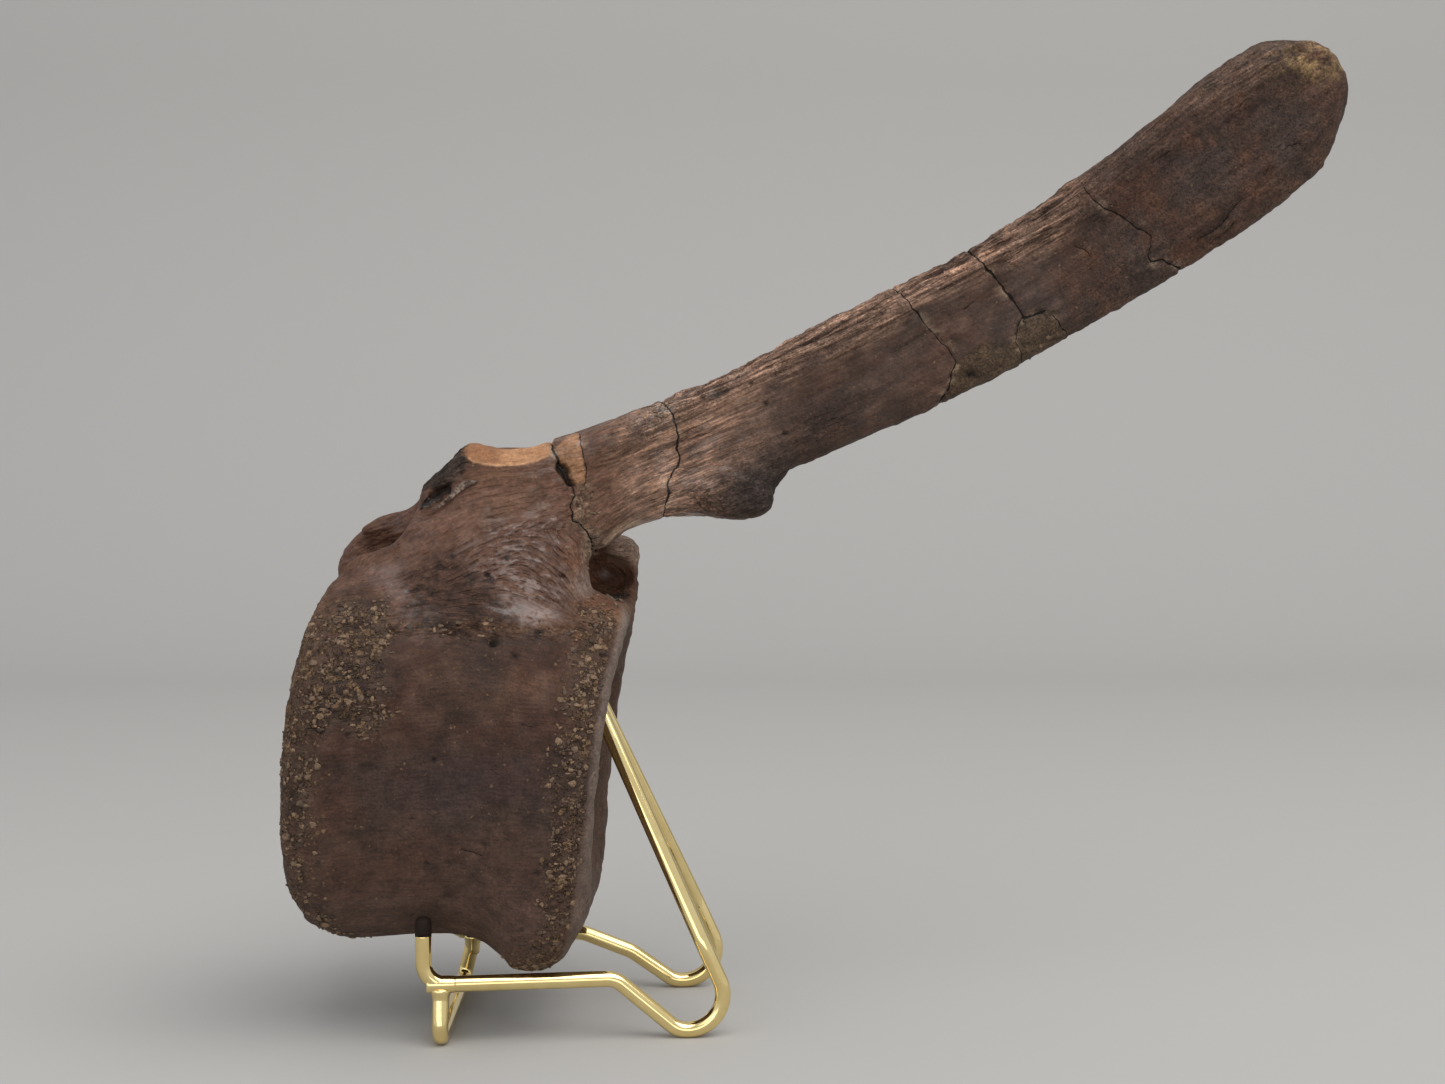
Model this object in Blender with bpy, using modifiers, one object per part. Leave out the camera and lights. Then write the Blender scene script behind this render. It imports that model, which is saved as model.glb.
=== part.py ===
"""Fossil hadrosaur caudal vertebra leaning on a bent brass wire stand.

Metres, +Z up. The bone is seen from its left side: front end of the centrum towards -X, the
long neural spine sweeping up towards +X. The lists below are in millimetres, in the frame of
the stand: X runs along its rails, Y = 0 is its middle, and Z = 0 is the table.
"""

import math

import bmesh
import bpy
from mathutils import Matrix, Vector

MM = 0.001

# Stand, bent from 4 mm (5/32 in) brass wire
WIRE_RADIUS = 2.0
WORN_FLAT = 0.15  # depth of the flat rubbed on the wire where it stands on the table
FLOOR_WIRE = WIRE_RADIUS - WORN_FLAT
RAIL_HEIGHT = 15.0
HOOK_X = -54.1
HOOK_HALF_WIDTH = 28.5
HOOK_TOP = 27.7
TIP_TOP = 31.9
FOOT_HALF_WIDTH = 23.8
LOOP_RADIUS = 8.7
LOOP_CORNER_X = 24.2
APEX_CORNER = (-21.5, 0.0, 101.8)
APEX_RADIUS = 6.5
TIP_GAP = 0.3
LEG_GAP = 0.75  # filled by solder between the tilted end of a leg and its rail

# Bone
HALF_WIDTH = 40.0
YAW_SLOPE = 0.045  # the far side of the centrum sits a little further back
REAR_DISH = 10.5
FRONT_DISH = 6.0
VOXEL = 1.1
BONE_TRIANGLES = 7000

# Front and rear faces of the centrum, as (height, X) pairs going up
FRONT_EDGE = [
    (21, -74), (24, -79), (26.5, -82), (29, -84.4), (35, -87), (43, -88.6), (50, -88.9), (63, -88),
    (81, -86.4), (93, -84.8), (101, -83.2), (108, -81), (117, -77.2), (124, -75),
]
REAR_EDGE = [
    (16, -19.5), (20, -16.8), (24, -15), (30, -13), (40, -11.8), (51, -11), (72, -9.2), (91, -6.2),
    (102, -2.8), (110, -3.4),
]

# Rings along the centrum: share of its length, share of its full width, lowest and highest point
CENTRUM_RINGS = [
    (0.000, 0.85, 27, 114), (0.014, 0.92, 24, 116.5), (0.045, 0.97, 22.2, 118), (0.11, 1.0, 21.8, 119),
    (0.22, 0.985, 22.4, 119), (0.34, 0.96, 22.6, 119), (0.46, 0.945, 22.5, 119), (0.54, 0.945, 21.8, 119),
    (0.62, 0.95, 19.6, 118), (0.69, 0.955, 17.6, 116), (0.75, 0.965, 17.1, 114), (0.83, 0.975, 17.0, 112),
    (0.90, 0.985, 17.1, 110.5), (0.95, 0.975, 18.6, 108.5), (0.985, 0.94, 23.5, 107), (1.0, 0.87, 30, 104.5),
]
# Half of a cross-section from underneath to the top: share of half width, share of height
BODY_PROFILE = [
    (0.0, 0.0), (0.22, 0.004), (0.42, 0.018), (0.58, 0.055), (0.72, 0.12), (0.84, 0.215), (0.93, 0.335),
    (0.975, 0.47), (1.0, 0.61), (0.985, 0.70), (0.90, 0.79), (0.74, 0.875), (0.52, 0.945), (0.27, 0.99),
    (0.0, 1.0),
]
# The same at the two facets for the chevron bone, where the underside is broad and low
LIP_PROFILE = [
    (0.0, 0.014), (0.32, 0.006), (0.58, 0.0), (0.70, 0.004), (0.80, 0.06), (0.88, 0.17), (0.94, 0.30),
    (0.975, 0.45), (1.0, 0.61), (0.985, 0.70), (0.90, 0.79), (0.74, 0.875), (0.52, 0.945), (0.27, 0.99),
    (0.0, 1.0),
]
LIP_PLACE = 0.845
LIP_REACH = 0.22
LIP_FULLNESS = 1.5  # how soon the two facets reach their full depth

# Level slices of the neural arch: height, front X, rear X, half width
ARCH_SLICES = [
    (96, -82, -8, 31), (104, -81, -10, 28), (112, -79, -11.6, 23.5), (119, -77, -12.2, 20.5),
    (124, -75.6, -12.4, 19), (127, -74, -12.4, 18), (129.2, -70.6, -12, 17.2), (131, -62, -11.8, 16.4),
    (137, -56.4, -11.4, 14.6), (142, -50.6, -14, 13), (146, -46.8, -18, 11.6), (149.2, -44.6, -21, 9.2),
]

# Neural spine: X and Z of its upper edge, X and Z of its lower edge, half thickness, and the
# thickness of its lower edge as a share of that
SPINE_RINGS = [
    (-42, 143, -26, 118, 10.0, 0.9), (-25, 148.6, -16, 118.4, 12.0, 0.9),
    (-17.5, 150.4, -10.4, 120.2, 11.8, 0.85), (-12, 152.6, -4.5, 125.6, 11.0, 0.8),
    (4, 158.3, 6.5, 128.8, 9.6, 0.8), (14, 162, 17, 128.8, 8.8, 0.86), (22, 165.8, 25, 127.8, 8.4, 0.9),
    (27.5, 168.6, 30.4, 128.6, 8.0, 0.86), (31.5, 170.9, 33.2, 134.5, 7.7, 0.76),
    (37, 173.8, 38.4, 141.2, 7.4, 0.64), (47, 179.1, 51.5, 146.8, 7.0, 0.6),
    (66, 188.3, 73, 155.4, 6.6, 0.58), (85, 198.4, 95, 166.6, 6.3, 0.58), (103, 210.2, 117, 179.0, 6.2, 0.6),
    (122, 223.6, 138, 191.0, 6.2, 0.62), (138, 236.9, 156, 202.6, 6.6, 0.66),
    (150, 246.4, 168, 211.6, 7.0, 0.74), (160, 251.9, 176.2, 218.8, 6.9, 0.8),
    (170, 252.4, 181, 229, 6.0, 0.85), (176.5, 250.4, 182.8, 237.4, 4.4, 0.9),
    (180.2, 246.9, 183.0, 242, 2.4, 1.0),
]
# Half of a spine section from its lower edge to its upper edge: share of thickness, share of height
BLADE_PROFILE = [
    (0.0, 0.0), (0.55, 0.03), (0.85, 0.10), (1.0, 0.22), (0.96, 0.36), (0.88, 0.50), (0.88, 0.64),
    (0.98, 0.78), (1.0, 0.88), (0.78, 0.96), (0.42, 0.992), (0.0, 1.0),
]

# Neural canal, the tunnel for the spinal cord: X, half width, height of its middle, half height
CANAL_SLICES = [
    (-92, 11.4, 117, 11.2), (-72, 9.9, 116.6, 9.6), (-60, 8.8, 116, 8.6),
    (-26, 8.3, 115.4, 7.8), (-15, 8.9, 114.6, 6.2), (6, 10.2, 114.4, 6.2),
]
# Front of the arch: its near wall is broken away above this line of X and Z, as far as this Y
BROKEN_WALL = [
    (-90, 117.6), (-76, 119.2), (-66.4, 120.6), (-62.4, 122.4), (-59.9, 125.4), (-57.6, 130),
    (-56.8, 134), (-58, 144), (-90, 144),
]
BROKEN_WALL_REACH = 5.5
# Top of the arch: a shallow dip, worn across between two peaks
SADDLE_X = -33.6
SADDLE_LOW = 146.8
SADDLE_RADIUS = 23.4

BONE_BROWN = (0.095, 0.052, 0.037)
BRASS = (0.78, 0.62, 0.31)
TIP_BROWN = (0.035, 0.022, 0.016)


def clear_scene():
    for item in list(bpy.data.objects):
        bpy.data.objects.remove(item, do_unlink=True)
    for store in (bpy.data.meshes, bpy.data.curves, bpy.data.materials, bpy.data.collections):
        for item in list(store):
            store.remove(item)


def collection(name):
    made = bpy.data.collections.new(name)
    bpy.context.scene.collection.children.link(made)
    return made


def material(name, colour, roughness, metallic):
    made = bpy.data.materials.new(name)
    made.use_nodes = True
    shader = made.node_tree.nodes["Principled BSDF"]
    shader.inputs["Base Color"].default_value = (*colour, 1.0)
    shader.inputs["Roughness"].default_value = roughness
    shader.inputs["Metallic"].default_value = metallic
    made.diffuse_color = (*colour, 1.0)
    return made


def interpolate(pairs, at):
    """The second value of the pairs at this first value, along straight lines between them."""
    if at <= pairs[0][0]:
        return pairs[0][1]
    for (a, low), (b, high) in zip(pairs, pairs[1:]):
        if at <= b:
            return low + (high - low) * (at - a) / (b - a)
    return pairs[-1][1]


def mesh_object(name, mesh, home):
    made = bpy.data.objects.new(name, mesh)
    home.objects.link(made)
    return made


def loft(name, rings, home, poles=None):
    """A closed skin over rings of equal length, each end closed onto a pole point."""
    poles = poles or [sum((Vector(p) for p in ring), Vector()) / len(ring) for ring in (rings[0], rings[-1])]
    shape = bmesh.new()
    rows = [[shape.verts.new(Vector(p) * MM) for p in ring] for ring in rings]
    count = len(rings[0])
    for row, above in zip(rows, rows[1:]):
        for i in range(count):
            j = (i + 1) % count
            shape.faces.new((row[i], row[j], above[j], above[i]))
    for row, pole in zip((rows[0], rows[-1]), poles):
        tip = shape.verts.new(Vector(pole) * MM)
        for i in range(count):
            shape.faces.new((row[i], row[(i + 1) % count], tip))
    bmesh.ops.recalc_face_normals(shape, faces=shape.faces)
    mesh = bpy.data.meshes.new(name)
    shape.to_mesh(mesh)
    shape.free()
    return mesh_object(name, mesh, home)


def both_sides(half):
    """A half profile from bottom to top, and back down the other side."""
    return half + [(-y, v) for y, v in reversed(half[1:-1])]


def centrum(home):
    def ring(place, width, low, high, inset=0.0, share=1.0):
        nearness = max(0.0, 1.0 - abs(place - LIP_PLACE) / LIP_REACH)
        weight = min(1.0, LIP_FULLNESS * nearness)
        weight = weight * weight * (3 - 2 * weight)
        half = [
            (y0 + (y1 - y0) * weight, v0 + (v1 - v0) * weight)
            for (y0, v0), (y1, v1) in zip(BODY_PROFILE, LIP_PROFILE)
        ]
        points = []
        for y, v in both_sides(half):
            z = low + (high - low) * (0.55 + (v - 0.55) * share)
            front = interpolate(FRONT_EDGE, z)
            rear = interpolate(REAR_EDGE, z)
            across = y * HALF_WIDTH * width * share
            along = front + (rear - front) * place + YAW_SLOPE * across * place + inset
            points.append((along, across, z))
        return points

    front_face = [
        ring(*CENTRUM_RINGS[0], inset=FRONT_DISH * deep, share=share)
        for share, deep in ((0.22, 1.0), (0.5, 0.78), (0.74, 0.36), (0.9, 0.02))
    ]
    rear_face = [
        ring(*CENTRUM_RINGS[-1], inset=-REAR_DISH * deep, share=share)
        for share, deep in ((0.92, 0.03), (0.78, 0.34), (0.55, 0.80), (0.25, 1.0))
    ]
    rings = front_face + [ring(*values) for values in CENTRUM_RINGS] + rear_face
    return loft("centrum form", rings, home)


def superellipse(steps, power):
    """Points of a rounded rectangle of half sides 1, going round."""
    points = []
    for i in range(steps):
        turn = 2 * math.pi * i / steps
        c, s = math.cos(turn), math.sin(turn)
        points.append((math.copysign(abs(c) ** (2 / power), c), math.copysign(abs(s) ** (2 / power), s)))
    return points


def neural_arch(home):
    rings = []
    for height, front, rear, half in ARCH_SLICES:
        middle, reach = (front + rear) / 2, (rear - front) / 2
        rings.append([(middle + reach * a, half * b, height) for a, b in superellipse(28, 2.7)])
    return loft("arch form", rings, home)


def neural_spine(home):
    rings = []
    for top_x, top_z, low_x, low_z, half, edge in SPINE_RINGS:
        points = []
        for y, v in both_sides(BLADE_PROFILE):
            thick = half * (edge + (1 - edge) * min(1.0, v / 0.75))
            points.append((low_x + (top_x - low_x) * v, y * thick, low_z + (top_z - low_z) * v))
        rings.append(points)
    return loft("spine form", rings, home)


def ellipsoid(name, centre, radii, home, tilt=0.0):
    """A rounded lump, tilted in the XZ plane by this many degrees."""
    shape = bmesh.new()
    bmesh.ops.create_uvsphere(shape, u_segments=24, v_segments=14, radius=1.0)
    turn = Matrix.Rotation(math.radians(tilt), 4, "Y")
    place = Matrix.Translation(Vector(centre) * MM) @ turn @ Matrix.Diagonal([*(r * MM for r in radii), 1.0])
    bmesh.ops.transform(shape, matrix=place, verts=shape.verts)
    mesh = bpy.data.meshes.new(name)
    shape.to_mesh(mesh)
    shape.free()
    return mesh_object(name, mesh, home)


def canal_cutter(home):
    """The spinal cord's tunnel, flared where it leaves the bone."""
    rings = []
    for x, half_width, middle, half_height in CANAL_SLICES:
        rings.append([(x, half_width * a, middle + half_height * b) for a, b in superellipse(20, 2.4)])
    return loft("canal cutter", rings, home)


def wall_cutter(home):
    """Everything above the broken near wall of the arch, from the near side to just past the canal."""
    rings = [[(x, y, z) for x, z in BROKEN_WALL] for y in (-HALF_WIDTH - 5, BROKEN_WALL_REACH)]
    return loft("wall cutter", rings, home)


def saddle_cutter(home):
    """A drum that lies across the top of the arch."""
    bpy.ops.mesh.primitive_cylinder_add(
        vertices=96,
        radius=SADDLE_RADIUS * MM,
        depth=2 * HALF_WIDTH * MM,
        location=(SADDLE_X * MM, 0, (SADDLE_LOW + SADDLE_RADIUS) * MM),
        rotation=(math.pi / 2, 0, 0),
    )
    made = bpy.context.active_object
    made.name = made.data.name = "saddle cutter"
    for other in list(made.users_collection):
        other.objects.unlink(made)
    home.objects.link(made)
    return made


def apply_modifiers(item):
    graph = bpy.context.evaluated_depsgraph_get()
    mesh = bpy.data.meshes.new_from_object(item.evaluated_get(graph))
    item.modifiers.clear()
    item.data = mesh


def boolean(item, other, operation):
    step = item.modifiers.new(other.name, "BOOLEAN")
    step.operation = operation
    step.solver = "EXACT"
    step.use_self = True
    step.object = other
    apply_modifiers(item)


def vertebra(home, helpers, look):
    """The whole bone: its forms joined, the hollows cut, and the joins worn smooth."""
    bone = centrum(helpers)
    lumps = [
        neural_arch(helpers),
        neural_spine(helpers),
        ellipsoid("near rear facet", (23.0, -6.5, 135.0), (11.0, 5.0, 6.6), helpers, 10),
        ellipsoid("far rear facet", (21.5, 6.5, 134.5), (11.0, 5.0, 6.4), helpers, 10),
        ellipsoid("far rear pedicle", (-10.5, 15.0, 111.0), (9.6, 6.6, 12.4), helpers),
        ellipsoid("far knob", (-6.6, 15.0, 119.3), (6.2, 7.2, 4.8), helpers, 10),
        ellipsoid("far front wall", (-71.0, 13.4, 114.4), (9.9, 6.0, 13.0), helpers, 20),
        ellipsoid("front peak", (-43.5, 0.0, 141.5), (5.5, 11.0, 7.6), helpers, 20),
        ellipsoid("near shoulder", (-44.0, -27.0, 88.0), (30.0, 10.5, 10.0), helpers, 3),
        ellipsoid("far shoulder", (-44.0, 27.0, 88.0), (30.0, 10.5, 10.0), helpers, 3),
    ]
    hollows = [
        canal_cutter(helpers),
        wall_cutter(helpers),
        saddle_cutter(helpers),
        ellipsoid("rear hollow", (-9.5, 10.0, 113.4), (7.6, 7.4, 5.4), helpers),
        ellipsoid("broken hollow", (-52.2, -14.5, 133.3), (7.0, 6.0, 2.6), helpers, -41),
        ellipsoid("side hollow", (-37.5, -41.5, 95.5), (7.0, 6.0, 6.0), helpers),
    ]
    for lump in lumps:
        boolean(bone, lump, "UNION")
    for hollow in hollows:
        boolean(bone, hollow, "DIFFERENCE")
    remesh = bone.modifiers.new("one skin", "REMESH")
    remesh.mode = "VOXEL"
    remesh.voxel_size = VOXEL * MM
    wear = bone.modifiers.new("worn smooth", "SMOOTH")
    wear.factor = 0.5
    wear.iterations = 7
    apply_modifiers(bone)
    thin = bone.modifiers.new("few faces", "DECIMATE")
    thin.ratio = BONE_TRIANGLES / sum(len(face.vertices) - 2 for face in bone.data.polygons)
    apply_modifiers(bone)
    bone.name = bone.data.name = "vertebra"
    helpers.objects.unlink(bone)
    home.objects.link(bone)
    finish(bone, look)
    return bone


def finish(item, look, sharp=60):
    item.data.materials.clear()
    item.data.materials.append(look)
    item.data.shade_smooth()
    item.data.set_sharp_from_angle(angle=math.radians(sharp))


def rounded_path(corners, steps=6):
    """A route through (x, y, z, radius) corners, each turned into an arc of that radius."""
    route = [Vector(corners[0][:3])]
    for before, corner, after in zip(corners, corners[1:], corners[2:]):
        point = Vector(corner[:3])
        back = (Vector(before[:3]) - point).normalized()
        ahead = (Vector(after[:3]) - point).normalized()
        half_angle = back.angle(ahead) / 2
        middle = point + (back + ahead).normalized() * corner[3] / math.sin(half_angle)
        start = (point + back * corner[3] / math.tan(half_angle) - middle).normalized()
        end = (point + ahead * corner[3] / math.tan(half_angle) - middle).normalized()
        count = max(2, round(steps * start.angle(end) / (math.pi / 2)))
        for i in range(count + 1):
            route.append(middle + start.slerp(end, i / count) * corner[3])
    route.append(Vector(corners[-1][:3]))
    return route


def wire(name, route, home, radius=WIRE_RADIUS):
    """A round wire of this radius along a route, with flat ends, as a mesh."""
    curve = bpy.data.curves.new(name, "CURVE")
    curve.dimensions = "3D"
    curve.bevel_depth = radius * MM
    curve.bevel_resolution = 3
    curve.use_fill_caps = True
    line = curve.splines.new("POLY")
    line.points.add(len(route) - 1)
    for place, point in zip(line.points, route):
        place.co = (*(point * MM), 1.0)
    guide = bpy.data.objects.new(name, curve)
    home.objects.link(guide)
    graph = bpy.context.evaluated_depsgraph_get()
    mesh = bpy.data.meshes.new_from_object(guide.evaluated_get(graph))
    bpy.data.objects.remove(guide, do_unlink=True)
    shape = bmesh.new()
    shape.from_mesh(mesh)
    bmesh.ops.remove_doubles(shape, verts=shape.verts, dist=1e-6)
    bmesh.ops.recalc_face_normals(shape, faces=shape.faces)
    shape.to_mesh(mesh)
    shape.free()
    mesh.name = name
    return mesh_object(name, mesh, home)


def table_cutter(helpers):
    """The space under the table top, which rubs the flats on the wire."""
    shape = bmesh.new()
    bmesh.ops.create_cube(shape, size=1.0)
    place = Matrix.Translation((0, 0, -0.01)) @ Matrix.Diagonal((0.4, 0.4, 0.02, 1.0))
    bmesh.ops.transform(shape, matrix=place, verts=shape.verts)
    mesh = bpy.data.meshes.new("table cutter")
    shape.to_mesh(mesh)
    shape.free()
    return mesh_object("table cutter", mesh, helpers)


def stand_wire_route():
    """From the near hook along its rail, foot loop and upright, over the apex and down the far side."""
    near = [
        (HOOK_X, -HOOK_HALF_WIDTH, HOOK_TOP, 0),
        (HOOK_X, -HOOK_HALF_WIDTH, RAIL_HEIGHT, 5.5),
        (-7.3, -24.3, RAIL_HEIGHT, 6),
        (8.2, -FOOT_HALF_WIDTH, FLOOR_WIRE, 6),
        (LOOP_CORNER_X, -FOOT_HALF_WIDTH, FLOOR_WIRE, LOOP_RADIUS),
        (14.5, -23.5, 23.3, 14),
    ]
    far = [
        (14.5, 23.5, 23.3, 14),
        (LOOP_CORNER_X, FOOT_HALF_WIDTH, FLOOR_WIRE, LOOP_RADIUS),
        (8.0, FOOT_HALF_WIDTH, FLOOR_WIRE, 6),
        (-3.5, 23.9, 9.9, 9),
        (-16.8, 24.6, RAIL_HEIGHT, 9),
        (HOOK_X, HOOK_HALF_WIDTH, RAIL_HEIGHT, 5.5),
        (HOOK_X, HOOK_HALF_WIDTH, HOOK_TOP, 0),
    ]
    return rounded_path(near + [(*APEX_CORNER, APEX_RADIUS)] + far)


def stand(home, helpers, brass, tip_look):
    """The bent wire, the U foot soldered under its rails, and the dark tips of its hooks."""
    table = table_cutter(helpers)
    pieces = [wire("stand_wire", stand_wire_route(), home)]
    leg_top = RAIL_HEIGHT - WIRE_RADIUS - LEG_GAP
    foot_route = rounded_path([
        (-50.0, -28.1, leg_top, 0),
        (-50.0, -31.2, FLOOR_WIRE, 3.2),
        (-49.5, 28.6, FLOOR_WIRE, 3.2),
        (-46.9, 27.8, leg_top, 0),
    ])
    pieces.append(wire("front_foot", foot_route, home))
    for piece in pieces:
        boolean(piece, table, "DIFFERENCE")
        finish(piece, brass, 50)
    for side, across in (("near", -HOOK_HALF_WIDTH), ("far", HOOK_HALF_WIDTH)):
        ends = [Vector((HOOK_X, across, HOOK_TOP + TIP_GAP)), Vector((HOOK_X, across, TIP_TOP))]
        tip = wire(f"hook_tip_{side}", ends, home)
        finish(tip, tip_look, 50)
        pieces.append(tip)
    return pieces


def centre_on_origin(pieces, home):
    """Hangs all pieces on an empty, moved so that the middle of their box's underside is the origin."""
    corners = [vertex.co for item in pieces for vertex in item.data.vertices]
    low = Vector([min(c[i] for c in corners) for i in range(3)])
    high = Vector([max(c[i] for c in corners) for i in range(3)])
    base = bpy.data.objects.new("vertebra_on_stand", None)
    home.objects.link(base)
    for item in pieces:
        item.parent = base
    base.location = (-(low.x + high.x) / 2, -(low.y + high.y) / 2, -low.z)
    bpy.context.view_layer.update()
    print("placed at", [round(v / MM, 2) for v in base.location])


def main():
    clear_scene()
    home = collection("Hadrosaur caudal vertebra on stand")
    helpers = collection("Forms and cutters")
    bone_look = material("fossil bone", BONE_BROWN, 0.55, 0.0)
    brass = material("polished brass", BRASS, 0.16, 1.0)
    tip_look = material("dark tip", TIP_BROWN, 0.5, 0.0)
    pieces = [vertebra(home, helpers, bone_look)]
    pieces += stand(home, helpers, brass, tip_look)
    for helper in helpers.objects:
        helper.hide_render = True
        helper.display_type = "WIRE"
    centre_on_origin(pieces, home)


main()
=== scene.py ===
# %% [markdown]
# # A fossil tail bone leaning on a bent wire stand
#
# The object is a middle tail vertebra of a large plant-eating dinosaur, turned to stone, with its long
# neural spine swept up and back. It stands on a small easel bent from polished brass wire. This lesson
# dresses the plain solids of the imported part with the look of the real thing: the bone first, the wire
# second, and a pale studio sweep last. Each step says what the real surface is, then how it is made here.

# %% Loading the part
import itertools
import math

import bpy
import numpy as np
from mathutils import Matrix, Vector


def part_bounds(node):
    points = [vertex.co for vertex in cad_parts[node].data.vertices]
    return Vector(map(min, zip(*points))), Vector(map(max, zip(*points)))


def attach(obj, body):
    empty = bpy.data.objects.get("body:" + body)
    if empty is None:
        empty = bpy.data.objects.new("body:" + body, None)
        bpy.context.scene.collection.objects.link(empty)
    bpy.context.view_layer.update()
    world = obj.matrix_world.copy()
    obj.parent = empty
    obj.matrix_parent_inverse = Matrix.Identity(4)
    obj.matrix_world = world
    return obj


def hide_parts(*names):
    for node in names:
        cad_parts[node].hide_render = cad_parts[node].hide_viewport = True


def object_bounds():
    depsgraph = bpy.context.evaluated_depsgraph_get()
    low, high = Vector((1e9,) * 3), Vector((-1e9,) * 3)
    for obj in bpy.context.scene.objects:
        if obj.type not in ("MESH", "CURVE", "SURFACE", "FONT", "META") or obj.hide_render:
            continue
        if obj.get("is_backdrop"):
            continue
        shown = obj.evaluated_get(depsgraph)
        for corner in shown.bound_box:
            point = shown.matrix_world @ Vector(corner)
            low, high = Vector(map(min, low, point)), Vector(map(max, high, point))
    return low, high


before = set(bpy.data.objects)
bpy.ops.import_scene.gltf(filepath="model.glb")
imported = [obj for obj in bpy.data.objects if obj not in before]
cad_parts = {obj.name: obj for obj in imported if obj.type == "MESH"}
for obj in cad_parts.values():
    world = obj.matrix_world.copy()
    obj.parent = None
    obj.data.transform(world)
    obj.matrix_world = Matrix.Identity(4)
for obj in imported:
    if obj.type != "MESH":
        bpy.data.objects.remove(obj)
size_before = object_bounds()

MM = 0.001
scene = bpy.context.scene
print("solids in the part:", sorted(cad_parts))

# %% [markdown]
# ## Where things are
#
# Lengths are in millimetres, from a point on the table under the middle of the photograph: X along the
# rails towards the tip of the spine, Y away from the viewer, Z up. The part is centred on its box, so one
# shift joins the two. The shift could be typed in, but read from the dark cap on the near hook, which is
# small and sharply placed, it stays right when the part is built again.

# %% From the photograph's place to the part's
HOOK_X, HOOK_HALF_WIDTH = -54.1, 28.5


def part_box(node):
    """Lowest and highest corner of a solid of the part, in millimetres."""
    low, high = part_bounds(node)
    return np.array(low) / MM, np.array(high) / MM


cap_low, cap_high = part_box("hook_tip_near")
SHIFT = (cap_low + cap_high) / 2 - (HOOK_X, -HOOK_HALF_WIDTH, 0)
SHIFT[2] = 0
print("shift to the part's own frame, mm:", SHIFT.round(2))

# %% [markdown]
# ## Randomness that repeats
#
# Weathered bone is uneven at every scale. Noise nodes could show that in a material, but here the points
# of the mesh have to move, and colour and height have to agree, so the noise is worked out in numpy.
# `hills` is a smooth field that rises and falls, for lumps, fibres and stains. `cells` measures the
# distance to scattered points, for pits and grains. Both come from the position alone, so each run gives
# the same bone.

# %% Hills and cells
def dice(cell, salt):
    """A repeatable number from 0 to 1 for every cell of a 3-D grid."""
    n = cell[:, 0] * 374761393 + cell[:, 1] * 668265263 + cell[:, 2] * 1440662683 + salt * 2246822519
    n = (n ^ (n >> 13)) * 1274126177
    n = (n ^ (n >> 16)) * 2654435761
    return ((n ^ (n >> 15)) & 0xFFFFFF) / 0xFFFFFF


def hills(points, size, salt=0, octaves=1):
    """Smooth random heights from about -1 to 1. The width of one hill is size, in millimetres."""
    total, weight = np.zeros(len(points)), 1.0
    for octave in range(octaves):
        place = points / size + 0.37 * salt
        cell = np.floor(place).astype(np.int64)
        inside = place - cell
        ease = inside**3 * (inside * (inside * 6 - 15) + 10)
        for corner in itertools.product((0, 1), repeat=3):
            at = cell + corner
            away = inside - corner
            slope = sum((dice(at, salt * 3 + axis) * 2 - 1) * away[:, axis] for axis in range(3))
            share = np.prod(np.where(corner, ease, 1 - ease), axis=1)
            total += weight * 1.9 * slope * share
        size, weight, salt = size * 0.5, weight * 0.5, salt + 11
    return total


def cells(points, size, salt=0):
    """Distance in cells to the nearest of many scattered points, about one to each cube of that size."""
    place = points / size
    cell = np.floor(place).astype(np.int64)
    nearest = np.full(len(points), 9.0)
    for step in itertools.product((-1, 0, 1), repeat=3):
        at = cell + step
        spot = np.stack([at[:, axis] + dice(at, salt * 5 + axis) for axis in range(3)], axis=1)
        nearest = np.minimum(nearest, np.linalg.norm(place - spot, axis=1))
    return nearest


def ramp(value, start, end):
    """Rises smoothly from 0 at start to 1 at end."""
    t = np.clip((value - start) / (end - start), 0, 1)
    return t * t * (3 - 2 * t)


print("one hill, sampled along a line:", hills(np.linspace((0, 0, 0), (8, 3, 0), 5), 4).round(2))

# %% [markdown]
# ## The body of the bone
#
# The part's own solid has the right form, but its facets show, and real bone has none. It could be
# sculpted by hand, but then it would drift away from the solid and could not be made again from it. So a
# copy is welded, rounded by subdivision, rebuilt as an even skin of squares small enough to carry a crack,
# and lightly smoothed. The fine work follows as shifts of this skin.

# %% An even skin round the solid
GRID = 0.46


def modifier(obj, kind, **settings):
    """Adds a modifier with these settings."""
    made = obj.modifiers.new(kind.lower(), kind)
    for name, value in settings.items():
        setattr(made, name, value)
    return made


def bake_modifiers(obj):
    """Turns an object and its modifiers into one plain mesh."""
    graph = bpy.context.evaluated_depsgraph_get()
    mesh = bpy.data.meshes.new_from_object(obj.evaluated_get(graph))
    obj.modifiers.clear()
    old = obj.data
    obj.data = mesh
    if old.users == 0:
        bpy.data.meshes.remove(old)
    mesh.name = obj.name
    return obj


def add_object(name, mesh):
    obj = bpy.data.objects.new(name, mesh)
    scene.collection.objects.link(obj)
    return obj


bone = add_object("fossil_vertebra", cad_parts["vertebra"].data.copy())
bone.data.transform(((1 / MM, 0, 0, 0), (0, 1 / MM, 0, 0), (0, 0, 1 / MM, 0), (0, 0, 0, 1)))
modifier(bone, "WELD", merge_threshold=0.01)
modifier(bone, "SUBSURF", levels=1, render_levels=1)
modifier(bone, "REMESH", mode="VOXEL", voxel_size=GRID)
modifier(bone, "SMOOTH", factor=0.5, iterations=22)
bake_modifiers(bone)


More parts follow.
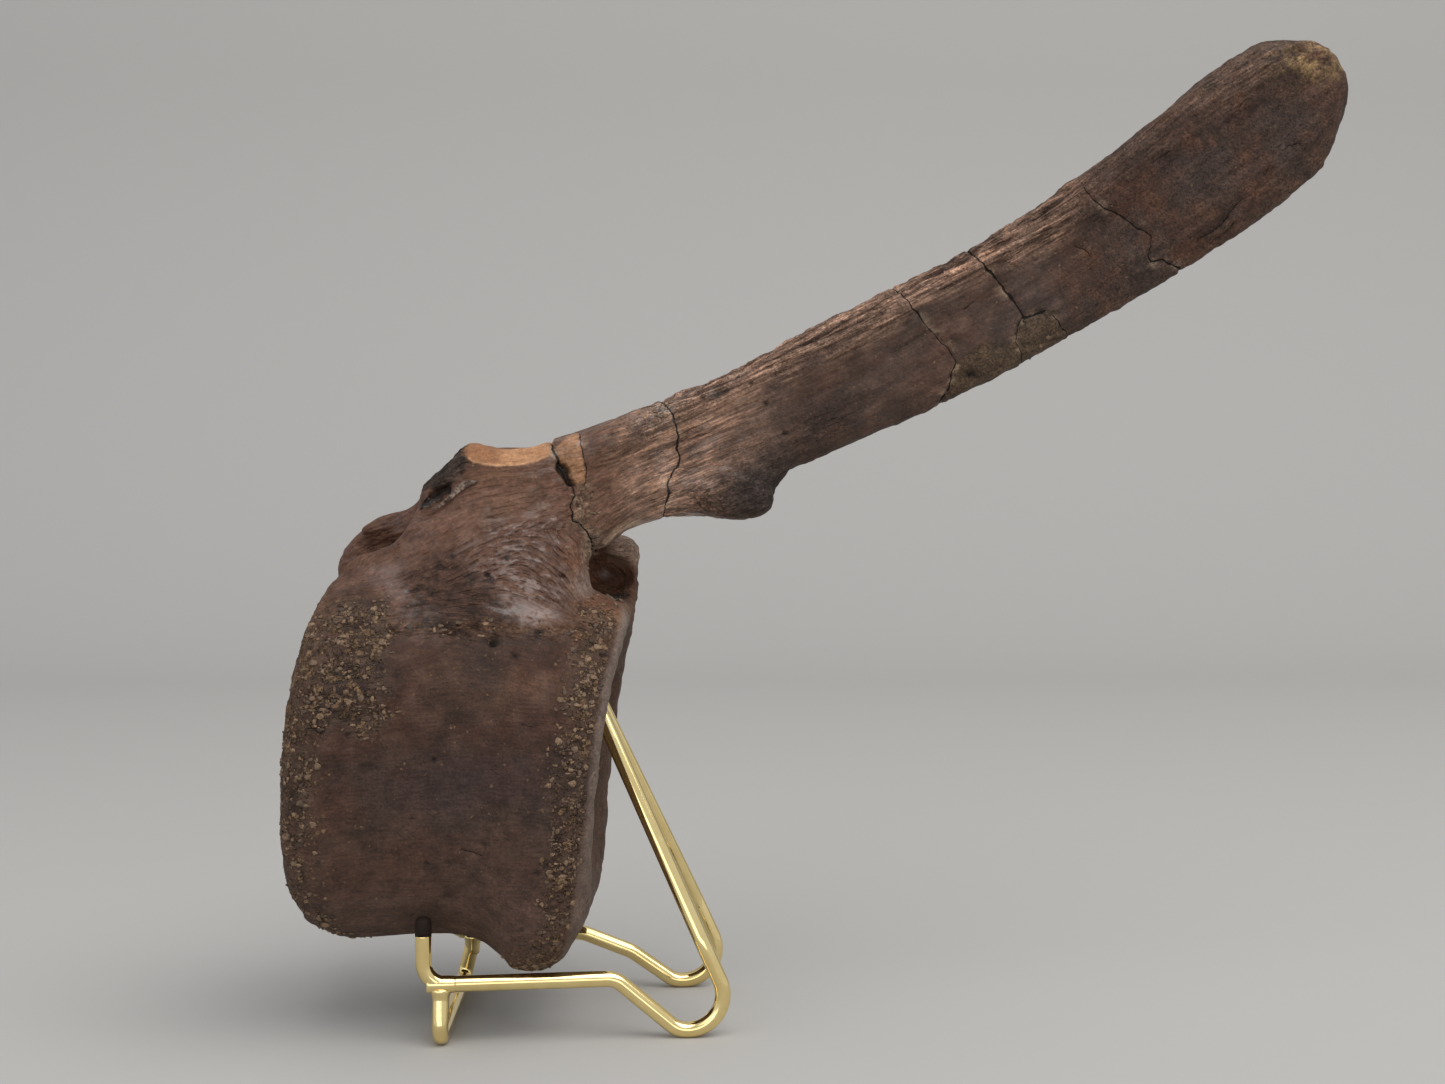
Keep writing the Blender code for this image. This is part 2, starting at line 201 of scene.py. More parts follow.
def read_points(mesh):
    """The points of a mesh from the photograph's origin, in millimetres, and their outward directions."""
    flat = np.empty(len(mesh.vertices) * 3, np.float32)
    mesh.vertices.foreach_get("co", flat)
    points = flat.reshape(-1, 3).astype(float) - SHIFT
    mesh.vertex_normals.foreach_get("vector", flat)
    return points, flat.reshape(-1, 3).astype(float).copy()


P, N = read_points(bone.data)
X, Y, Z = P.T
FACING = -N[:, 1]
print("points on the bone:", len(P), " low", P.min(0).round(1), " high", P.max(0).round(1))

# %% [markdown]
# ## Landmarks read from the photograph
#
# Every line below is a route across the bone as (X, Z) points. The glued breaks run right through the
# spine and the arch, so their routes serve both sides, with some wander. The others belong to the left
# side, which the photograph shows: scratches, the sharp lip of the saddle, the scar near the tip, and the
# outlines of patches where the colour changes. Breaks and scratches also carry their half width and depth.
# All this could be painted on the mesh, but as numbers one route can serve height, colour and material
# alike.

# %% Glued breaks and scratches
BREAKS = {
    "arch": (
        [(-24.4, 150.3), (-23.5, 148.1), (-22.9, 146.1), (-21.6, 143.5), (-20.9, 142), (-19.1, 139.5),
         (-17.9, 137.2), (-17.1, 134.7), (-18.1, 132.2), (-17.8, 128.7), (-16.4, 127.7), (-14.2, 125.4),
         (-13, 122.2), (-12.6, 118.6)], 0.22, 0.6),
    "arch_fine": (
        [(-16.3, 150.8), (-16.1, 148.6), (-15.3, 144.8), (-14.4, 141), (-14.4, 138.5), (-15.4, 136.5)],
        0.10, 0.2),
    "root": (
        [(4.2, 160), (4.9, 157.8), (5.9, 156.7), (7.4, 155.2), (8.1, 152.7), (8.9, 149.6), (8.1, 146.6),
         (9.2, 144.1), (8.4, 142), (6.9, 139.5), (6.1, 137.5), (6.6, 134.9), (5.6, 132.4), (5.1, 129.2),
         (4.9, 125)], 0.24, 0.45),
    "first": (
        [(63.5, 189), (65.3, 186.3), (67, 184.2), (68.5, 182.4), (69.8, 181.4), (72, 178.4), (74.1, 176.1),
         (76, 173.8), (78, 172.3), (79.1, 170.8), (80.2, 168.7), (78.9, 165.4), (78.6, 162.1),
         (77.1, 159.6), (76.5, 156)], 0.21, 0.4),
    "second": (
        [(82.5, 198.5), (83.5, 197.1), (85.3, 195.5), (86.7, 194.2), (88.6, 191.9), (91.3, 188.7),
         (94, 185.7), (95.8, 183.4), (97.1, 181.3), (97.7, 180.3), (99.5, 180.3), (103.9, 182.4)],
        0.32, 0.55),
    "second_up": ([(105, 181.1), (106.6, 179.6), (108.1, 177.4), (109.7, 176.2), (111, 172)], 0.14, 0.25),
    "second_down": ([(96.9, 180.3), (95.9, 176.2), (95.8, 173.7), (97.5, 171.4), (98, 167)], 0.12, 0.2),
    "third": (
        [(112.5, 214.5), (113.5, 212.4), (114.2, 211.6), (116.1, 209.6), (117.7, 208.4), (119.6, 207.7),
         (121.8, 206.7), (123.9, 205.2), (125.7, 204.2), (127.8, 202.7), (129.7, 201.9), (130.7, 200.9),
         (130.2, 198.1), (130, 196.1), (130.9, 194.6), (133.6, 194.9), (135.8, 194.2), (138.8, 193),
         (141, 191)], 0.25, 0.45),
}
SCRATCHES = [
    ([(142.4, 199.8), (146, 202.1), (149.1, 204.2), (151, 207), (152.8, 209), (154.5, 211.5)], 0.34, 0.5),
    ([(145.9, 198.7), (148.9, 201.2), (151.4, 203), (152.6, 205)], 0.28, 0.4),
    ([(159, 216.1), (160.5, 217.9), (162.3, 219.1)], 0.2, 0.35),
    ([(165, 224), (166.6, 224.8), (168.4, 225), (170, 223.8)], 0.2, 0.45),
    ([(110.7, 198.5), (112.8, 197.8), (113.9, 197), (115.2, 196)], 0.2, 0.4),
    ([(81.6, 181.5), (83.1, 183), (84.9, 184.6)], 0.2, 0.35),
    ([(129.7, 219.4), (132.3, 220.9), (135.3, 223)], 0.25, 0.4),
    ([(143.6, 238.4), (145.9, 239.9), (148.2, 241.1)], 0.2, 0.4),
    ([(118, 226), (122, 229.5), (125, 231)], 0.2, 0.35),
    ([(-44.5, 49.5), (-41, 48.6), (-38.5, 47.9)], 0.2, 0.3),
    ([(-30.2, 80.1), (-27.5, 79.6), (-22, 79.9)], 0.15, 0.2),
]
print("glued breaks:", len(BREAKS), " scratches:", len(SCRATCHES))

# %% Edges, outlines and pits
SADDLE_LIP = [(-45.2, 144.6), (-42.7, 143), (-39.1, 142.3), (-35.3, 142), (-31.1, 142.3), (-27.1, 143.3),
              (-23.5, 144.6)]
SCAR = [(150.9, 230.5), (152.5, 229), (154.6, 228.8), (156.7, 229.8), (158.7, 230.6), (160.8, 232.9),
        (166, 235.2), (170.2, 237.1), (172, 241), (168.4, 244.1), (163, 242.9), (158.3, 240.3),
        (155.2, 238.3), (153, 235)]
OLIVE = [(79.5, 168.7), (87.6, 173.6), (94.2, 173.2), (96.9, 180.1), (104.4, 182.1), (109.6, 176.7),
         (103, 170), (91.9, 165), (82.1, 160), (77.5, 158)]
PATCH = [(-76, 111), (-65.5, 113.5), (-61.5, 109.3), (-62.1, 98), (-60.6, 81.5), (-70, 77.3), (-77, 84)]
FURROWED = [(-61.4, 115), (-50.4, 119.6), (-41.5, 118), (-36.4, 111.5), (-31, 103.6), (-42, 99.6),
            (-52, 101.5), (-58, 106.5)]
WAVY = [(-47.5, 122.5), (-37, 128.5), (-21, 130), (-16.5, 120), (-15.5, 109), (-22, 107), (-33, 109.5),
        (-42.8, 114)]
LENS = [(-38.5, 107.8), (-30.5, 109.8), (-21.2, 106), (-19, 103.4), (-29.8, 103.6)]
CHIN = [(-71, 116.5), (-61, 118.5), (-56.5, 109), (-61, 108.5), (-65, 112)]
CHIP = [(-22, 146.8), (-19.7, 149.4), (-16.2, 150), (-15.5, 144.8), (-14.6, 138.3), (-17.6, 137.6),
        (-20.2, 142), (-21.7, 143.5)]
HOLE = [(-21.8, 143.1), (-19.7, 142.2), (-18.3, 140), (-17.3, 137.3), (-19, 137), (-20.5, 139.4),
        (-21.8, 141)]
SLIT = [(-57.6, 132.8), (-53.9, 135.4), (-51.2, 136.5), (-48.2, 137.8), (-49.2, 135.3), (-52.2, 132.9),
        (-54.4, 131.4), (-56.4, 131.0)]
FRONT_SLOPE = [(-46, 150), (-60, 142), (-58, 135.8), (-51.3, 136.2), (-46.6, 138.8), (-44, 143.4)]
LEDGE = [(-61, 103), (-50, 102.4), (-40, 103.2), (-33, 102), (-25, 101.6), (-17, 101.2), (-11, 101.4)]
ROOT_EDGE = [(-10.8, 120), (-9.6, 122.4), (-7.6, 125), (-5, 126.6), (-1.2, 128)]
ROLLED = [(-18.4, 121), (-17.6, 116), (-15.6, 112), (-12.8, 108.9), (-8.8, 107), (-5, 106.2)]
PITS = [
    (-33.9, 119.2, 0.8, 0.9), (-38.5, 115.2, 0.9, 0.9), (-37.6, 114, 0.9, 0.9), (-20.4, 114.4, 0.6, 0.6),
    (-48.3, 36.2, 1.3, 0.9), (-50.1, 71.6, 0.8, 0.5), (-25.3, 101.4, 1.1, 0.8), (-47.5, 119.6, 1.0, 0.6),
    (-38.4, 50.5, 1.0, 0.6), (-24.2, 45.8, 1.1, 0.9), (-19, 39, 0.9, 0.6), (-26.1, 44, 0.8, 0.6),
    (-36.2, 99.4, 1.5, 1.8), (-31.1, 96.4, 1.2, 0.6), (-47.1, 46.1, 0.8, 0.5), (-52.7, 45.4, 0.9, 0.5),
    (-10, 96, 0.8, 0.7), (-30, 29.5, 0.8, 0.5), (-26.5, 24.5, 0.9, 0.6), (-21, 52, 0.8, 0.7),
    (-55.8, 57.4, 0.7, 0.4), (36, 150.3, 0.9, 0.7), (31, 158, 0.7, 0.5), (84.5, 165.5, 1.4, 0.7),
]
print("pits:", len(PITS), " corners of the scar near the tip:", len(SCAR))

# %% Tinted areas
# Each one on the near side: X, Z, half length, half height, tilt in degrees, strength, colour
TINTS = [
    (-46.5, 92.5, 7, 9, 0, 0.3, "tan"), (-70, 107, 6, 3.5, -10, 0.7, "olive"),
    (-54.5, 104, 5.5, 3.5, -20, 0.8, "dark"), (-21, 94.5, 9, 6, 0, 0.7, "red"),
    (-34, 77.5, 24, 4.2, 4, 0.75, "red"), (-57, 88, 3, 8, 0, 0.75, "red"),
    (-47, 62, 16, 12, 0, 0.55, "grey"), (-38, 97, 7, 4, -15, 0.6, "dark"), (-67, 118, 6, 2, 5, 0.5, "tan"),
    (-7, 104.6, 5.5, 2.4, 12, 0.9, "sand"), (-13.4, 121.8, 1.5, 3.4, -30, 0.95, "pale"),
    (-22, 145.4, 1, 1.6, 70, 0.8, "pale"), (-15.8, 131.6, 2.6, 5, -10, 0.6, "sand"),
    (4.6, 156.2, 1, 1.7, 60, 0.8, "pale"), (7.2, 151.5, 2, 5, 90, 0.5, "sand"),
    (-35, 132, 9, 4, 20, 0.4, "sand"), (-6, 145, 9, 3, 30, 0.5, "tan"), (24, 147.5, 9, 3, 15, 0.6, "tan"),
    (27, 134, 10, 6, 10, 0.85, "grey"), (33, 139, 5, 7, -20, 0.6, "dark"),
    # The dark spot at X 48, Z 157.5 is painted shade among the fibres of a rough patch.
    (48, 157.5, 12, 4, 26, 0.45, "dark"), (82.5, 160.6, 2.4, 1.4, 30, 0.9, "dark"),
    # The tan spot at X -6.5, Z 121.2 is painted light on the top of the knob as well as tan colour.
    (-6.5, 121.2, 6, 3, 10, 0.8, "tan"), (-20.5, 117, 4, 8, 15, 0.4, "tan"),
    # The dark spot at X -64.5, Z 122.4 is painted shade in a slot inside the front trough.
    (-60, 42, 12, 9, 0, 0.4, "red"), (-64.5, 122.4, 2.6, 0.7, 5, 0.9, "dark"),
    (-40, 66, 26, 9, 3, 0.6, "violet"), (-30, 36, 16, 8, 0, 0.35, "violet"),
    (-48, 104, 12, 4, 4, 0.5, "violet"), (-38, 139.5, 8, 1.2, 0, 0.5, "sand"),
    (148, 205, 7, 1.6, 50, 0.6, "dark"), (128, 216, 12, 6, 35, 0.5, "red"),
    # The dark band at X -36, Z 99.6 is painted shade under the ledge.
    (162, 222, 12, 3, 40, 0.4, "grey"), (-36, 99.6, 22, 1.1, -1, 0.75, "dark"),
    (-52, 97, 6, 5, 0, 0.5, "red"), (-28, 88, 9, 5, 10, 0.4, "tan"),
]
print("tinted areas:", len(TINTS))


# %% Distances from routes and outlines

def line_sides(route, x, z):
    """Distance of every point from a route in the X-Z plane, its place along the route from 0 to 1, and the
    distance with a sign that tells one side of the line from the other."""
    best, along, signed = np.full(len(x), 1e9), np.zeros(len(x)), np.zeros(len(x))
    reach = [math.dist(a, b) for a, b in zip(route, route[1:])]
    done = 0.0
    for (ax, az), (bx, bz), length in zip(route, route[1:], reach):
        t = np.clip(((x - ax) * (bx - ax) + (z - az) * (bz - az)) / length**2, 0, 1)
        gap = np.hypot(x - ax - t * (bx - ax), z - az - t * (bz - az))
        nearer = gap < best
        along = np.where(nearer, (done + t * length) / sum(reach), along)
        signed = np.where(nearer, ((x - ax) * (bz - az) - (z - az) * (bx - ax)) / length, signed)
        best = np.minimum(best, gap)
        done += length
    return best, along, signed


def inside_of(outline, x, z, soft):
    """1 well inside a closed outline, 0 well outside, with an edge that is soft millimetres wide."""
    gap = line_sides(list(outline) + [outline[0]], x, z)[0]
    within = np.zeros(len(x), bool)
    for (ax, az), (bx, bz) in zip(outline, list(outline[1:]) + [outline[0]]):
        crosses = (az > z) != (bz > z)
        with np.errstate(divide="ignore", invalid="ignore"):
            at = ax + (z - az) / (bz - az) * (bx - ax)
        within ^= crosses & (x < at)
    return ramp(np.where(within, gap, -gap), -soft / 2, soft / 2)


middle = np.array([-35.3]), np.array([142.0])
print("a point of the saddle's lip lies this far along it:", line_sides(SADDLE_LIP, *middle)[1].round(2))

# %% [markdown]
# ## Regions of the bone
#
# The drum-shaped centrum at the bottom has smooth sides with rough, crusted margins, where cartilage once
# joined the next bone. The arch above it carried the nerve cord. The long spine is flat and fibrous. Each
# gets a weight from 0 to 1 at every point, with wide blends between. The weights could be painted, but
# rules on the position follow the form when it changes. The margins are found from each point's distance
# to the front and rear outline at its height.

# %% Weights by place
AXIS = [(-20, 134), (0, 142), (49, 163), (110, 194.5), (147, 220), (184, 246)]
SPINE_LENGTH, SPINE_HALF_HEIGHT = 245, 17
ALONG = line_sides(AXIS, X, Z)[1]
axis_z = np.interp(X, [p[0] for p in AXIS], [p[1] for p in AXIS])
half_height = np.interp(X, [-12, 50, 105, 147, 170, 183], [14, 17, 16.5, 20, 17, 8])
RISE = np.clip((Z - axis_z) * 0.86 / half_height, -1.3, 1.3)
wander = hills(P, 9, 3, 2)

SPINE = ramp(X, -14, 4) * ramp(Z, 122, 130)
CENTRUM = 1 - ramp(Z, 96, 108)
ARCH = np.clip(1 - SPINE - CENTRUM, 0, 1)
NEAR = ramp(FACING, 0.1, 0.5)
FAR = ramp(-FACING, 0.1, 0.5)
SIDES = np.maximum(NEAR, FAR)

print("share on spine, arch, centrum:", *(round(float(v.mean()), 2) for v in (SPINE, ARCH, CENTRUM)))

# %% Distance from the margins of the drum
rows = np.arange(16, 116, 2.0)
low_part = Z < 118
front_x, rear_x = [], []
for height in rows:
    band = X[low_part & (np.abs(Z - height) < 2)]
    front_x.append(band.min() if len(band) else -80)
    rear_x.append(min(band.max(), -4) if len(band) else -10)
FROM_FRONT = X - np.interp(Z, rows, front_x)
FROM_REAR = np.interp(Z, rows, rear_x) - X
FRONT_FACE = ramp(-N[:, 0], 0.45, 0.8) * ramp(-X, 50, 66) * ramp(118 - Z, 0, 6)
REAR_FACE = ramp(N[:, 0], 0.45, 0.8) * ramp(X, -34, -24) * ramp(118 - Z, 0, 6) * ramp(6 - X, 0, 3)
print("share on front and rear face:", *(round(float(v.mean()), 3) for v in (FRONT_FACE, REAR_FACE)))

# %% [markdown]
# ## Fibres that follow the bone
#
# Bone splits and weathers along its fibres. They run along the spine, fan out over the arch and lie level
# on the centrum. A stretched noise would run straight on where the bone bends. The guide below gives the
# angle at a few places as (X, Z, degrees) instead. Between them the directions are blended, and a fine
# random field is smeared along them into streaks that bend with the bone.

# %% Directions and streaks
DIRECTIONS = [
    (-60, 50, 3), (-30, 50, -3), (-50, 85, 4), (-20, 85, -8), (-36, 102, -18), (-66, 104, 12),
    (-62, 116, 25), (-50, 124, 45), (-38, 118, 30), (-26, 112, -25), (-22, 122, -48), (-17, 110, -60),
    (-10, 103, -25), (-36, 137, 5), (-24, 140, 10), (-24, 130, 30), (-8, 132, 38), (-5, 148, 28),
    (10, 145, 30), (30, 138, 10), (40, 150, 24), (49, 163, 27), (80, 178, 29), (110, 194.5, 32),
    (147, 220, 34), (176, 240, 42), (172, 248, 5), (182, 238, 75), (160, 246, 24),
]


def smeared(size, reach, salt):
    """A random field smeared along the fibre directions, with a spread of about 1."""
    count = max(3, round(2 * reach / (size * 0.6)))
    total = np.zeros(len(P))
    for step in np.linspace(-reach, reach, count):
        total += math.exp(-((1.5 * step / reach) ** 2)) * hills(P + step * FLOW, size, salt)
    return total / total.std()


turn = np.zeros((len(P), 2))
for gx, gz, angle in DIRECTIONS:
    weight = 1 / ((X - gx) ** 2 + (Z - gz) ** 2 + 40) ** 1.5
    turn += weight[:, None] * (math.cos(2 * math.radians(angle)), math.sin(2 * math.radians(angle)))
bearing = np.arctan2(turn[:, 1], turn[:, 0]) / 2 + 0.12 * hills(P, 8, 12)
FLOW = np.stack([np.cos(bearing), np.zeros(len(P)), np.sin(bearing)], axis=1)
FIBRE = smeared(1.5, 6, 5)
BROAD_FIBRE = smeared(3.2, 10, 9)
WRINKLE = smeared(1.6, 2.4, 7)
print("fibre field spread:", *(round(float(f.std()), 2) for f in (FIBRE, BROAD_FIBRE, WRINKLE)))

# %% [markdown]
# ## Shaping the skin
#
# `lift` gathers every change of height, in millimetres, positive outwards. Broad lumps come first, then
# the fibres, the crusted margins and the pits, and last the lines: the breaks with their slightly unequal
# sides, the scratches, the raised lip of the saddle, and the scar near the tip where a thin layer has
# flaked away. A bump map could fake most of this, but outlines and shadows would stay smooth, so it is
# real height.

# %% Crust and marked areas
crust_edge = wander * 2.2
not_rear = 1 - ramp(N[:, 0] + 0.12 * wander, 0.42, 0.6)
left_margin = 1 - ramp(FROM_FRONT + crust_edge, 6, 12)
right_margin = (1 - ramp(FROM_REAR + crust_edge, 10, 16)) * not_rear
ragged = 3.0 * hills(P, 5, 47, 3)
patch = inside_of(PATCH, X + ragged, Z + wander * 1.5 + ragged, 3) * NEAR
far_patch = (1 - ramp(np.hypot(X + 62, (Z - 60) * 0.6) + wander * 4, 12, 20)) * FAR
low_rim = (1 - ramp(Z + wander * 2, 20, 28)) * ramp(X, -42, -30) * not_rear
CRUST = np.clip(left_margin * 0.8 + right_margin + patch + far_patch * 0.8 + low_rim * 0.7, 0, 1)
CRUST = CRUST * ramp(112 - Z, 0, 6) * np.maximum(SIDES, 0.35)
faces = np.clip(FRONT_FACE + REAR_FACE, 0, 1)
GRAINY = np.clip(CRUST + FRONT_FACE * 0.5 + REAR_FACE * 0.15, 0, 1)

# Routes and outlines from the photograph are followed with a small tremble.
jag_x = 0.45 * hills(P, 2.2, 41, 2) + 0.9 * hills(P, 7, 43) * FAR
jag_z = 0.45 * hills(P, 2.2, 42, 2) + 0.9 * hills(P, 7, 44) * FAR
toward = ramp(FACING, -0.35, 0.1)


def ridge(gap, width):
    """1 on a line, falling smoothly to about a third at the given width."""
    return np.exp(-((gap / width) ** 2))


def area(outline, soft):
    """A marked area of the near side, with a ragged edge."""
    return inside_of(outline, X + jag_x, Z + jag_z, soft) * toward


def spot(x, z, half_length, half_height, tilt=0.0):
    """A soft oval on the near side: 1 in its middle, about a third at its edge."""
    c, s = math.cos(math.radians(tilt)), math.sin(math.radians(tilt))
    right, up = X + jag_x - x, Z + jag_z - z
    along, across = (right * c + up * s) / half_length, (up * c - right * s) / half_height
    return np.exp(-(along**2) - across**2) * toward


furrowed = np.clip(area(FURROWED, 5) + patch * ramp(X + 59, 0, -5) * (0.6 + 0.5 * wander), 0, 1)
wavy, lens, chin = area(WAVY, 5), area(LENS, 2.5), area(CHIN, 4)
chip, hole, slit, slope = area(CHIP, 0.7), area(HOLE, 0.8), area(SLIT, 1.0), area(FRONT_SLOPE, 2.5)
olive, scar = area(OLIVE, 2.5), area(SCAR, 0.9)
rough_heel = spot(28, 137, 12, 9, 10) + 0.8 * spot(46, 153.5, 8, 4, 30)
crumbs = spot(-15.8, 131, 2.2, 5.5, -8) + spot(-13.4, 122, 1.6, 3.4, -30) + spot(4.8, 155.5, 1.2, 3.5, -20)
crumbly = hills(P, 1.3, 78, 3)

to_tip = ramp(X, 98, 124)
near_root = 1 - to_tip
top_edge = ramp(RISE + wander * 0.15 + 0.14 * (1 - to_tip), 0.36, 0.80) * SPINE * (1 - 0.55 * to_tip)
lower_edge = ramp(-RISE + wander * 0.12, 0.75, 1.0) * SPINE
gloss_and_highlight_spots = np.maximum(lens, chin)
calm = 1 - 0.85 * gloss_and_highlight_spots
ledge = ridge(line_sides(LEDGE, X + jag_x, Z + jag_z * 1.5)[0], 1.5) * NEAR
coarse = hills(P, 2.6, 21, 2)

print("share of crust and of the worn upper edge:", *(round(float(v.mean()), 3) for v in (CRUST, top_edge)))

# %% Lumps, fibres and crust
lift = 0.32 * hills(P, 24, 1, 2) + 0.10 * hills(P, 7, 2, 2)
lift += (0.02 + 0.26 * top_edge + 0.04 * SPINE + 0.06 * ARCH) * np.clip(FIBRE, -2.4, 1.8) * calm
lift += (0.04 + 0.05 * SPINE + 0.15 * top_edge) * BROAD_FIBRE * calm
lift += (0.05 * ARCH + 0.03 * wavy + 0.16 * slope + 0.14 * rough_heel) * np.clip(WRINKLE, -2, 2) * calm
lift -= 0.32 * furrowed * ramp(WRINKLE, -0.3, 1.0)
lift += ledge * (0.4 + 0.4 * hills(P, 2.4, 23, 2))
lift += GRAINY * 0.30 * coarse + crumbs * 0.35 * crumbly
lift -= GRAINY * 0.34 * (1 - ramp(cells(P, 3.1, 4), 0.12, 0.42))
lift -= (0.25 + 0.75 * SPINE) * 0.16 * (1 - ramp(cells(P, 6.5, 6), 0.05, 0.16))
lift += top_edge * 0.26 * hills(P, 2.6, 31, 3)
lift += lower_edge * 0.25 * hills(P, 3.0, 33, 2)

# The faces of the drum carry faint rings around a worn middle.
ring = np.hypot(Y, (Z - 66) * 0.9)
lift += faces * (
    0.22 * np.sin(ring * 0.55 + wander * 2.5) * ramp(ring, 8, 22) - 0.5 * (1 - ramp(ring, 4, 16)))

print("height changes so far, mm:", round(float(lift.min()), 2), "to", round(float(lift.max()), 2))

# %% Breaks and scratches in the skin
# Each break and scratch is kept as a distance, so that the material can draw it thinner than the mesh.
FAR_OFF, FAINT, SCRATCH_INK = 9.0, 0.02, 0.3
LINE_GAP, LINE_SIGNED = np.full(len(P), FAR_OFF), np.full(len(P), FAR_OFF)
LINE_HALF, halo = np.zeros(len(P)), np.zeros(len(P))
lines = [(*line, False) for line in BREAKS.values()] + [(*line, True) for line in SCRATCHES]
for count, (route, half, depth, scratch) in enumerate(lines):
    gap, along, signed = line_sides(route, X + jag_x * 0.6, Z + jag_z * 0.6)
    taper = ramp(along, 0.0, 0.06) * ramp(1 - along, 0.0, 0.06)
    half_here = half * taper * np.clip(0.9 + 0.7 * hills(P, 5, 45 + count), 0.35, 1.5)
    if scratch:
        half_here = half_here * NEAR
    lift -= depth * (ridge(gap, half_here + 0.25) * (half_here > FAINT))
    nearer = (gap < LINE_GAP) & (half_here > FAINT)
    LINE_SIGNED = np.where(nearer, np.clip(signed, -6, 6), LINE_SIGNED)
    LINE_HALF = np.where(nearer, half_here * (SCRATCH_INK if scratch else 1.0), LINE_HALF)
    LINE_GAP = np.where(nearer, gap, LINE_GAP)
    if not scratch:
        halo = np.maximum(halo, ridge(gap, 1.3) * taper)
        # One side of a glued joint sits a hair proud of the other.
        lift += 0.07 * (1 - ramp(gap, 0.5, 6)) * np.tanh(signed * 4) * taper

print("points within 1 mm of a line:", int((LINE_GAP < 1).sum()))

# %% Pits, saddle and scar
pits = np.zeros(len(P))
for px, pz, radius, depth in PITS:
    bowl = spot(px, pz, radius * 0.9, radius * 0.7)
    lift -= depth * bowl
    pits = np.maximum(pits, bowl)
rolled = ridge(line_sides(ROLLED, X, Z)[0], 2.2) * NEAR
lift += 0.5 * rolled - 1.5 * hole - 1.1 * slit + 0.25 * chip

lip_gap, lip_along, _ = line_sides(SADDLE_LIP, X, Z)
lip_z = np.interp(X, [p[0] for p in SADDLE_LIP], [p[1] for p in SADDLE_LIP])
on_saddle = ramp(X, -46.5, -44) * ramp(-X, 22.5, 23.8) * ramp(Z - lip_z, -0.2, 0.4) * ramp(10 - Y, 0, 6)
lift -= 0.6 * on_saddle * ramp(lip_gap, 0.2, 2.2)
lip = ridge(lip_gap, 0.27) * NEAR * ramp(lip_along, 0, 0.1) * ramp(1 - lip_along, 0, 0.1)
lift += 0.4 * lip
lift -= 0.38 * scar * (0.7 + 0.5 * hills(P, 5, 51))
lift -= olive * (0.18 + 0.10 * hills(P, 1.6, 52))
print("height changes, mm:", round(float(lift.min()), 2), "to", round(float(lift.max()), 2))

# %% [markdown]
# ## Colour of the bone
#
# Minerals have stained the bone a dark purplish brown, redder where the surface is worn, with tan sandy
# grains in the crust. The upper edge of the spine is a paler pinkish tan, partly its own colour and partly
# painted light where it faces up, and the saddle is a clean old break of orange tan. An image could be
# painted for this, but it would need an unwrapped mesh and a file. Rules need neither: each one below mixes
# one more colour over the ones before it. The result is kept as a colour at every point, and the material
# adds the finer grain. Colours are in thousandths of red, green and blue.

# %% Mixing colours
TONES = {
    "tan": (105, 66, 47), "sand": (150, 92, 58), "pale": (290, 250, 205), "dark": (24, 17, 15),
    "red": (47, 24, 17), "grey": (46, 36, 35), "violet": (41, 30, 34), "olive": (85, 62, 32),
    "black": (10, 8, 7),
}
PLAIN_BROWN = (0.046, 0.031, 0.025)
COLOUR = np.tile(PLAIN_BROWN, (len(P), 1))


def stain(weight, colour):
    """Mixes in a colour or a named tone, as strongly as the weight says at each point."""
    global COLOUR
    w = np.clip(weight, 0, 1)[:, None]
    COLOUR = COLOUR * (1 - w) + np.array(TONES[colour] if isinstance(colour, str) else colour) / 1000 * w


print("tones:", ", ".join(TONES))

# %% Ground colour, arch and spine
broad, medium = hills(P, 17, 61, 3), hills(P, 6, 62, 3)
streak, dark_streak = ramp(FIBRE, 0.3, 1.6), ramp(-FIBRE, 0.4, 1.8)
broken_up = ramp(hills(P, 4.5, 79, 2), -0.5, 0.35)
stain(0.75 * ramp(broad, -0.1, 0.6), (56, 31, 23))
stain(0.70 * ramp(-broad, 0.05, 0.6), (40, 30, 28))
stain(0.35 * ramp(medium, 0.1, 0.7), (74, 44, 32))

# The arch, and the spine from its root to its tip
stain(ARCH * 0.85, (92, 51, 36))
stain(ARCH * 0.12 * streak, (165, 105, 80))
stain(ARCH * 0.15 * dark_streak, (35, 20, 16))
root = SPINE * (1 - ramp(X, 8, 42))
stain(root * 0.9, (205, 138, 104))
stain(SPINE * (0.08 + 0.20 * root) * streak, (220, 148, 110))
stain(SPINE * 0.15 * dark_streak, (30, 20, 17))
# Painted light: the upper edge of the spine is coloured paler, partly its own pinkish tan and partly the
# light falling on it from above.
stain(top_edge * (0.85 + 0.2 * medium), np.outer(near_root, (85, 58, 43)) + (120, 84, 66))
stain(top_edge * 0.6 * streak * broken_up * near_root, (330, 240, 190))
stain(top_edge * (0.3 + 0.4 * near_root) * dark_streak * (1 - 0.6 * broken_up), (45, 30, 25))
stain(to_tip * ramp(medium + 0.4 * broad, 0.15, 0.7) * SPINE * 0.6, (85, 45, 29))
stain(ramp(np.abs(RISE) + wander * 0.1, 0.72, 0.95) * ramp(X, 105, 125) * SPINE * 0.25, (110, 75, 56))

print("mean colour so far:", COLOUR[NEAR > 0.9].mean(0).round(3))

# %% Tinted areas, and the worn, furrowed and broken places
for x, z, half_length, half_height, tilt, strength, tone in TINTS:
    stain(strength * spot(x, z, half_length, half_height, tilt), tone)
stain(wavy * 0.45, (105, 66, 53))
# Painted highlight: the glossy spots are also coloured a light pinkish tan for the broad highlight on them.
stain(gloss_and_highlight_spots * 0.75, (120, 78, 66))
stain(furrowed * 0.7, (58, 38, 31))
